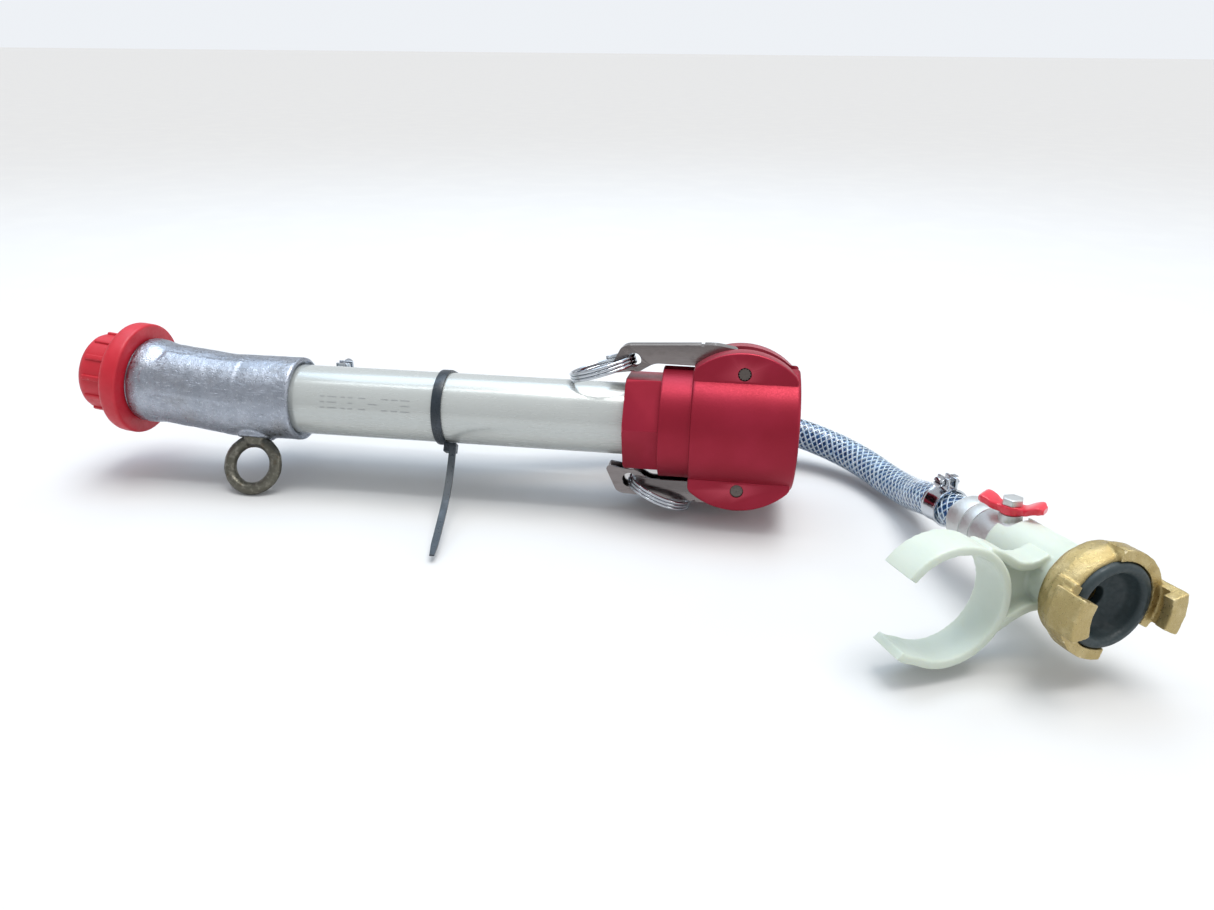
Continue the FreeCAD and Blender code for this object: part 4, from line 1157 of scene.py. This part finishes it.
def build_lever():
    """A bar with a waist beside its hub and two wings whose tips are lifted, and its nut."""
    place = CLAW @ shifted(stem_frame(), z=12.6) @ Matrix.Rotation(math.radians(LEVER_TURN), 4, "Z")
    rings = []
    steps = 48
    for k in range(steps + 1):
        y = LEVER_HALF * (2 * k / steps - 1)
        out = abs(y)
        waist = 1.2 * smooth(out, 0.5, 3.6) - 1.5 * smooth(out, 4.2, 7.0)
        half = 4.2 - waist - 1.9 * smooth(out, 10.0, LEVER_HALF)
        lift = 2.4 * smooth(out, 3.6, 10.0)
        thick = 2.9 - 0.9 * smooth(out, 10.6, LEVER_HALF)
        section = soft(rectangle(-half, 0.3, half, 0.3 + thick), 0.8, 3)
        rings.append([(x, y, z + lift) for x, z in section])
    plate = combined(bridged(rings), [lathe([(0, 0), (0, 4.3), (3.4, 4.1), (3.4, 0)], 0.5, 48)])
    plate = combined(plate, [rod(STEM_HOLE_R, -2, 6, 32)], "DIFFERENCE")
    lever = finish_piece(plate, "butterfly_lever", place, "lever", "lever", ("valve_lever",), 35)
    nut = extruded(arc(4.0, turns(6, 15)), 3.4, 6.0)
    nut = combined(bevelled(nut, 0.35, 2), [rod(STEM_HOLE_R, 0, 9, 32)], "DIFFERENCE")
    return lever, finish_piece(nut, "stem_nut", place, "lever", "nickel", ("lever_nut",))


CLIP_MIDDLE = Vector((-49.0, -1.5))
CLIP_IN = 19.7
CLIP_OUT = 23.0


def build_clip():
    """An open hoop for a pole, two flanges and a web, and the sleeve round the valve's end."""
    near, far = -15.0, -30.25
    outside = []
    inside = []
    for a in turns(60, 142, -284):
        flare = 2.2 * smooth(math.degrees(a), -120, -142)
        ray = Vector((math.cos(a), math.sin(a)))
        outside.append(CLIP_MIDDLE + ray * (CLIP_OUT + flare))
        inside.append(CLIP_MIDDLE + ray * (CLIP_IN + flare))
    hoop = extruded(soft(outside + inside[::-1], 0.0), far, near)
    sleeve = lathe([(-48.5, 0), (-48.5, 12.4), (-12.8, 12.4), (-12.8, 0)], 0.5, 96)
    upper = strip([(-34, 15.5), (-27.5, 12.6), (-20.5, 7.6), (-14, 6.8), (-8, 9)], 1.7)
    lower = strip([(-34, -18.6), (-27, -16.2), (-20, -12.0), (-13, -9.4), (-7, -9.8)], 1.7)
    flanges = [extruded(upper, far, -19.4), extruded(lower, far, -19.4)]
    web = extruded([(-25.2, 9), (-9, 6.5), (-9, -9), (-25, -17)], far + 1, -24.5)
    skin = melted([hoop, sleeve, web] + flanges, 0.55, 5)
    bore = rod(VALVE_R + 0.05, -60, -10, 96)
    notch = bevelled(extruded(rectangle(-7, 6, 7, 16), -56, -42.5), 2.0, 3)
    skin = combined(skin, [bore, notch], "DIFFERENCE")
    return finish_piece(skin, "clip_body", CLAW, "lance", "cream", ("pole_clip",), 45)


def strip(line, half):
    """An outline of constant thickness along a bent line."""
    points = [Vector(p) for p in soft(line, 6, 5, closed=False)]
    left = []
    right = []
    for i, point in enumerate(points):
        ahead = (points[min(i + 1, len(points) - 1)] - points[max(i - 1, 0)]).normalized()
        across = Vector((-ahead.y, ahead.x))
        left.append(point + across * half)
        right.append(point - across * half)
    return left + right[::-1]


def claw_block(turn, spread, section):
    """A hooked claw: a (radius, along) section swept round part of the rim."""
    rings = []
    for a in turns(12, turn - spread, 2 * spread):
        rings.append([(r * math.cos(a), r * math.sin(a), z) for r, z in section])
    return bridged(rings)


def build_claw_coupling():
    """The cast half coupling with two rising rims and two hooked claws, and its rubber seal."""
    disc = lathe([
        (-19, 0), (-19, 11), (-13, 11.4), (-12.6, 17.8), (-11.4, 18.8), (-6, 19.1), (-1.8, 17.6),
        (-0.6, 16.6), (-0.6, 0),
    ], 1.0, 96)
    hook = [
        (16.4, 9.2), (22.4, 9.2), (22.8, 8.6), (22.8, -2.8), (18, -2.8), (18, -1), (19.4, 0.4),
        (19.4, 4.6), (16.4, 4.8),
    ]
    parts = [disc]
    for half in (0, 180):
        collar = []
        for a in turns(36, half - 34, 124):
            reach = 17.6 + 2.7 * smooth(math.degrees(a), half + 90, half + 86)
            collar.append((reach * math.cos(a), reach * math.sin(a)))
        collar += arc(16.3, turns(36, half + 90, -124))
        parts += [extruded(collar, -7.0, 0.9), claw_block(half - 6, 20, hook)]
    skin = melted(parts, 0.42, 3)
    displaced(skin, lambda p: 0.16 * noise.noise(p * 0.30) + 0.07 * noise.noise(p * 1.1))
    bore = lathe([
        (-20, 0), (-20, 9.05), (-10, 9.05), (-10, 13.8), (-2.2, 13.8), (-2.2, 16.0), (2, 16.0), (2, 0),
    ], 0, 96)
    skin = combined(skin, [bore], "DIFFERENCE")
    shell = finish_piece(skin, "claw_shell", CLAW, "lance", "brass", ("claw_coupling",), 45)
    seal = lathe([
        (-10, 3.6), (-10, 13.7), (-2.1, 13.7), (-2.1, 15.9), (0.6, 15.9, 0.8), (1.5, 15.0, 0.8),
        (1.8, 13.0, 0.9), (0.6, 12.0, 0.8), (-1.4, 11.6, 0.8), (-4.4, 10.4, 1.2), (-6.0, 7.0, 1.0),
        (-6.6, 3.6, 0.6),
    ], 0.3, 96, 4)
    return shell, finish_piece(seal, "claw_gasket", CLAW, "lance", "rubber", ("claw_seal",))


def dress_frame_nodes():
    """Finish the inner CAD nodes, which keep their shapes."""
    for node, finish in (
        ("nozzle_insert", "rubber"), ("nozzle_washer", "rubber"), ("air_tube", "stainless"),
        ("air_inlet_barb", "nickel"), ("coupling_gasket", "rubber"), ("valve_barb", "nickel"),
        ("valve_seat_front", "seat"), ("valve_seat_rear", "seat"), ("valve_ball", "chrome"),
        ("valve_stem", "nickel"), ("claw_nipple", "brass"),
    ):
        dress(node, finish)


build_stage()
far_fittings = [
    *build_clamp("valve_clamp", hose_end(HOSE_ROUTE[-1], HOSE_ROUTE[-2]), 16),
    build_valve(),
    *build_lever(),
    build_clip(),
    *build_claw_coupling(),
    *(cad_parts[n] for n in (
        "valve_barb", "valve_seat_front", "valve_seat_rear", "valve_ball", "valve_stem", "claw_nipple")),
]
build_hose()
build_clamp("inlet_clamp", hose_end(HOSE_ROUTE[0], HOSE_ROUTE[1]), 13)
build_pipe()
build_head()
build_nozzle()
build_eye_bolt()
build_coupling()
for label, way, ring_swing in (("upper", 1, -18), ("lower", -1, 202)):
    build_arm(label, way)
    build_pin(label, way, label == "upper")
    build_ring(label, way, ring_swing)
build_cable_tie()
dress_frame_nodes()
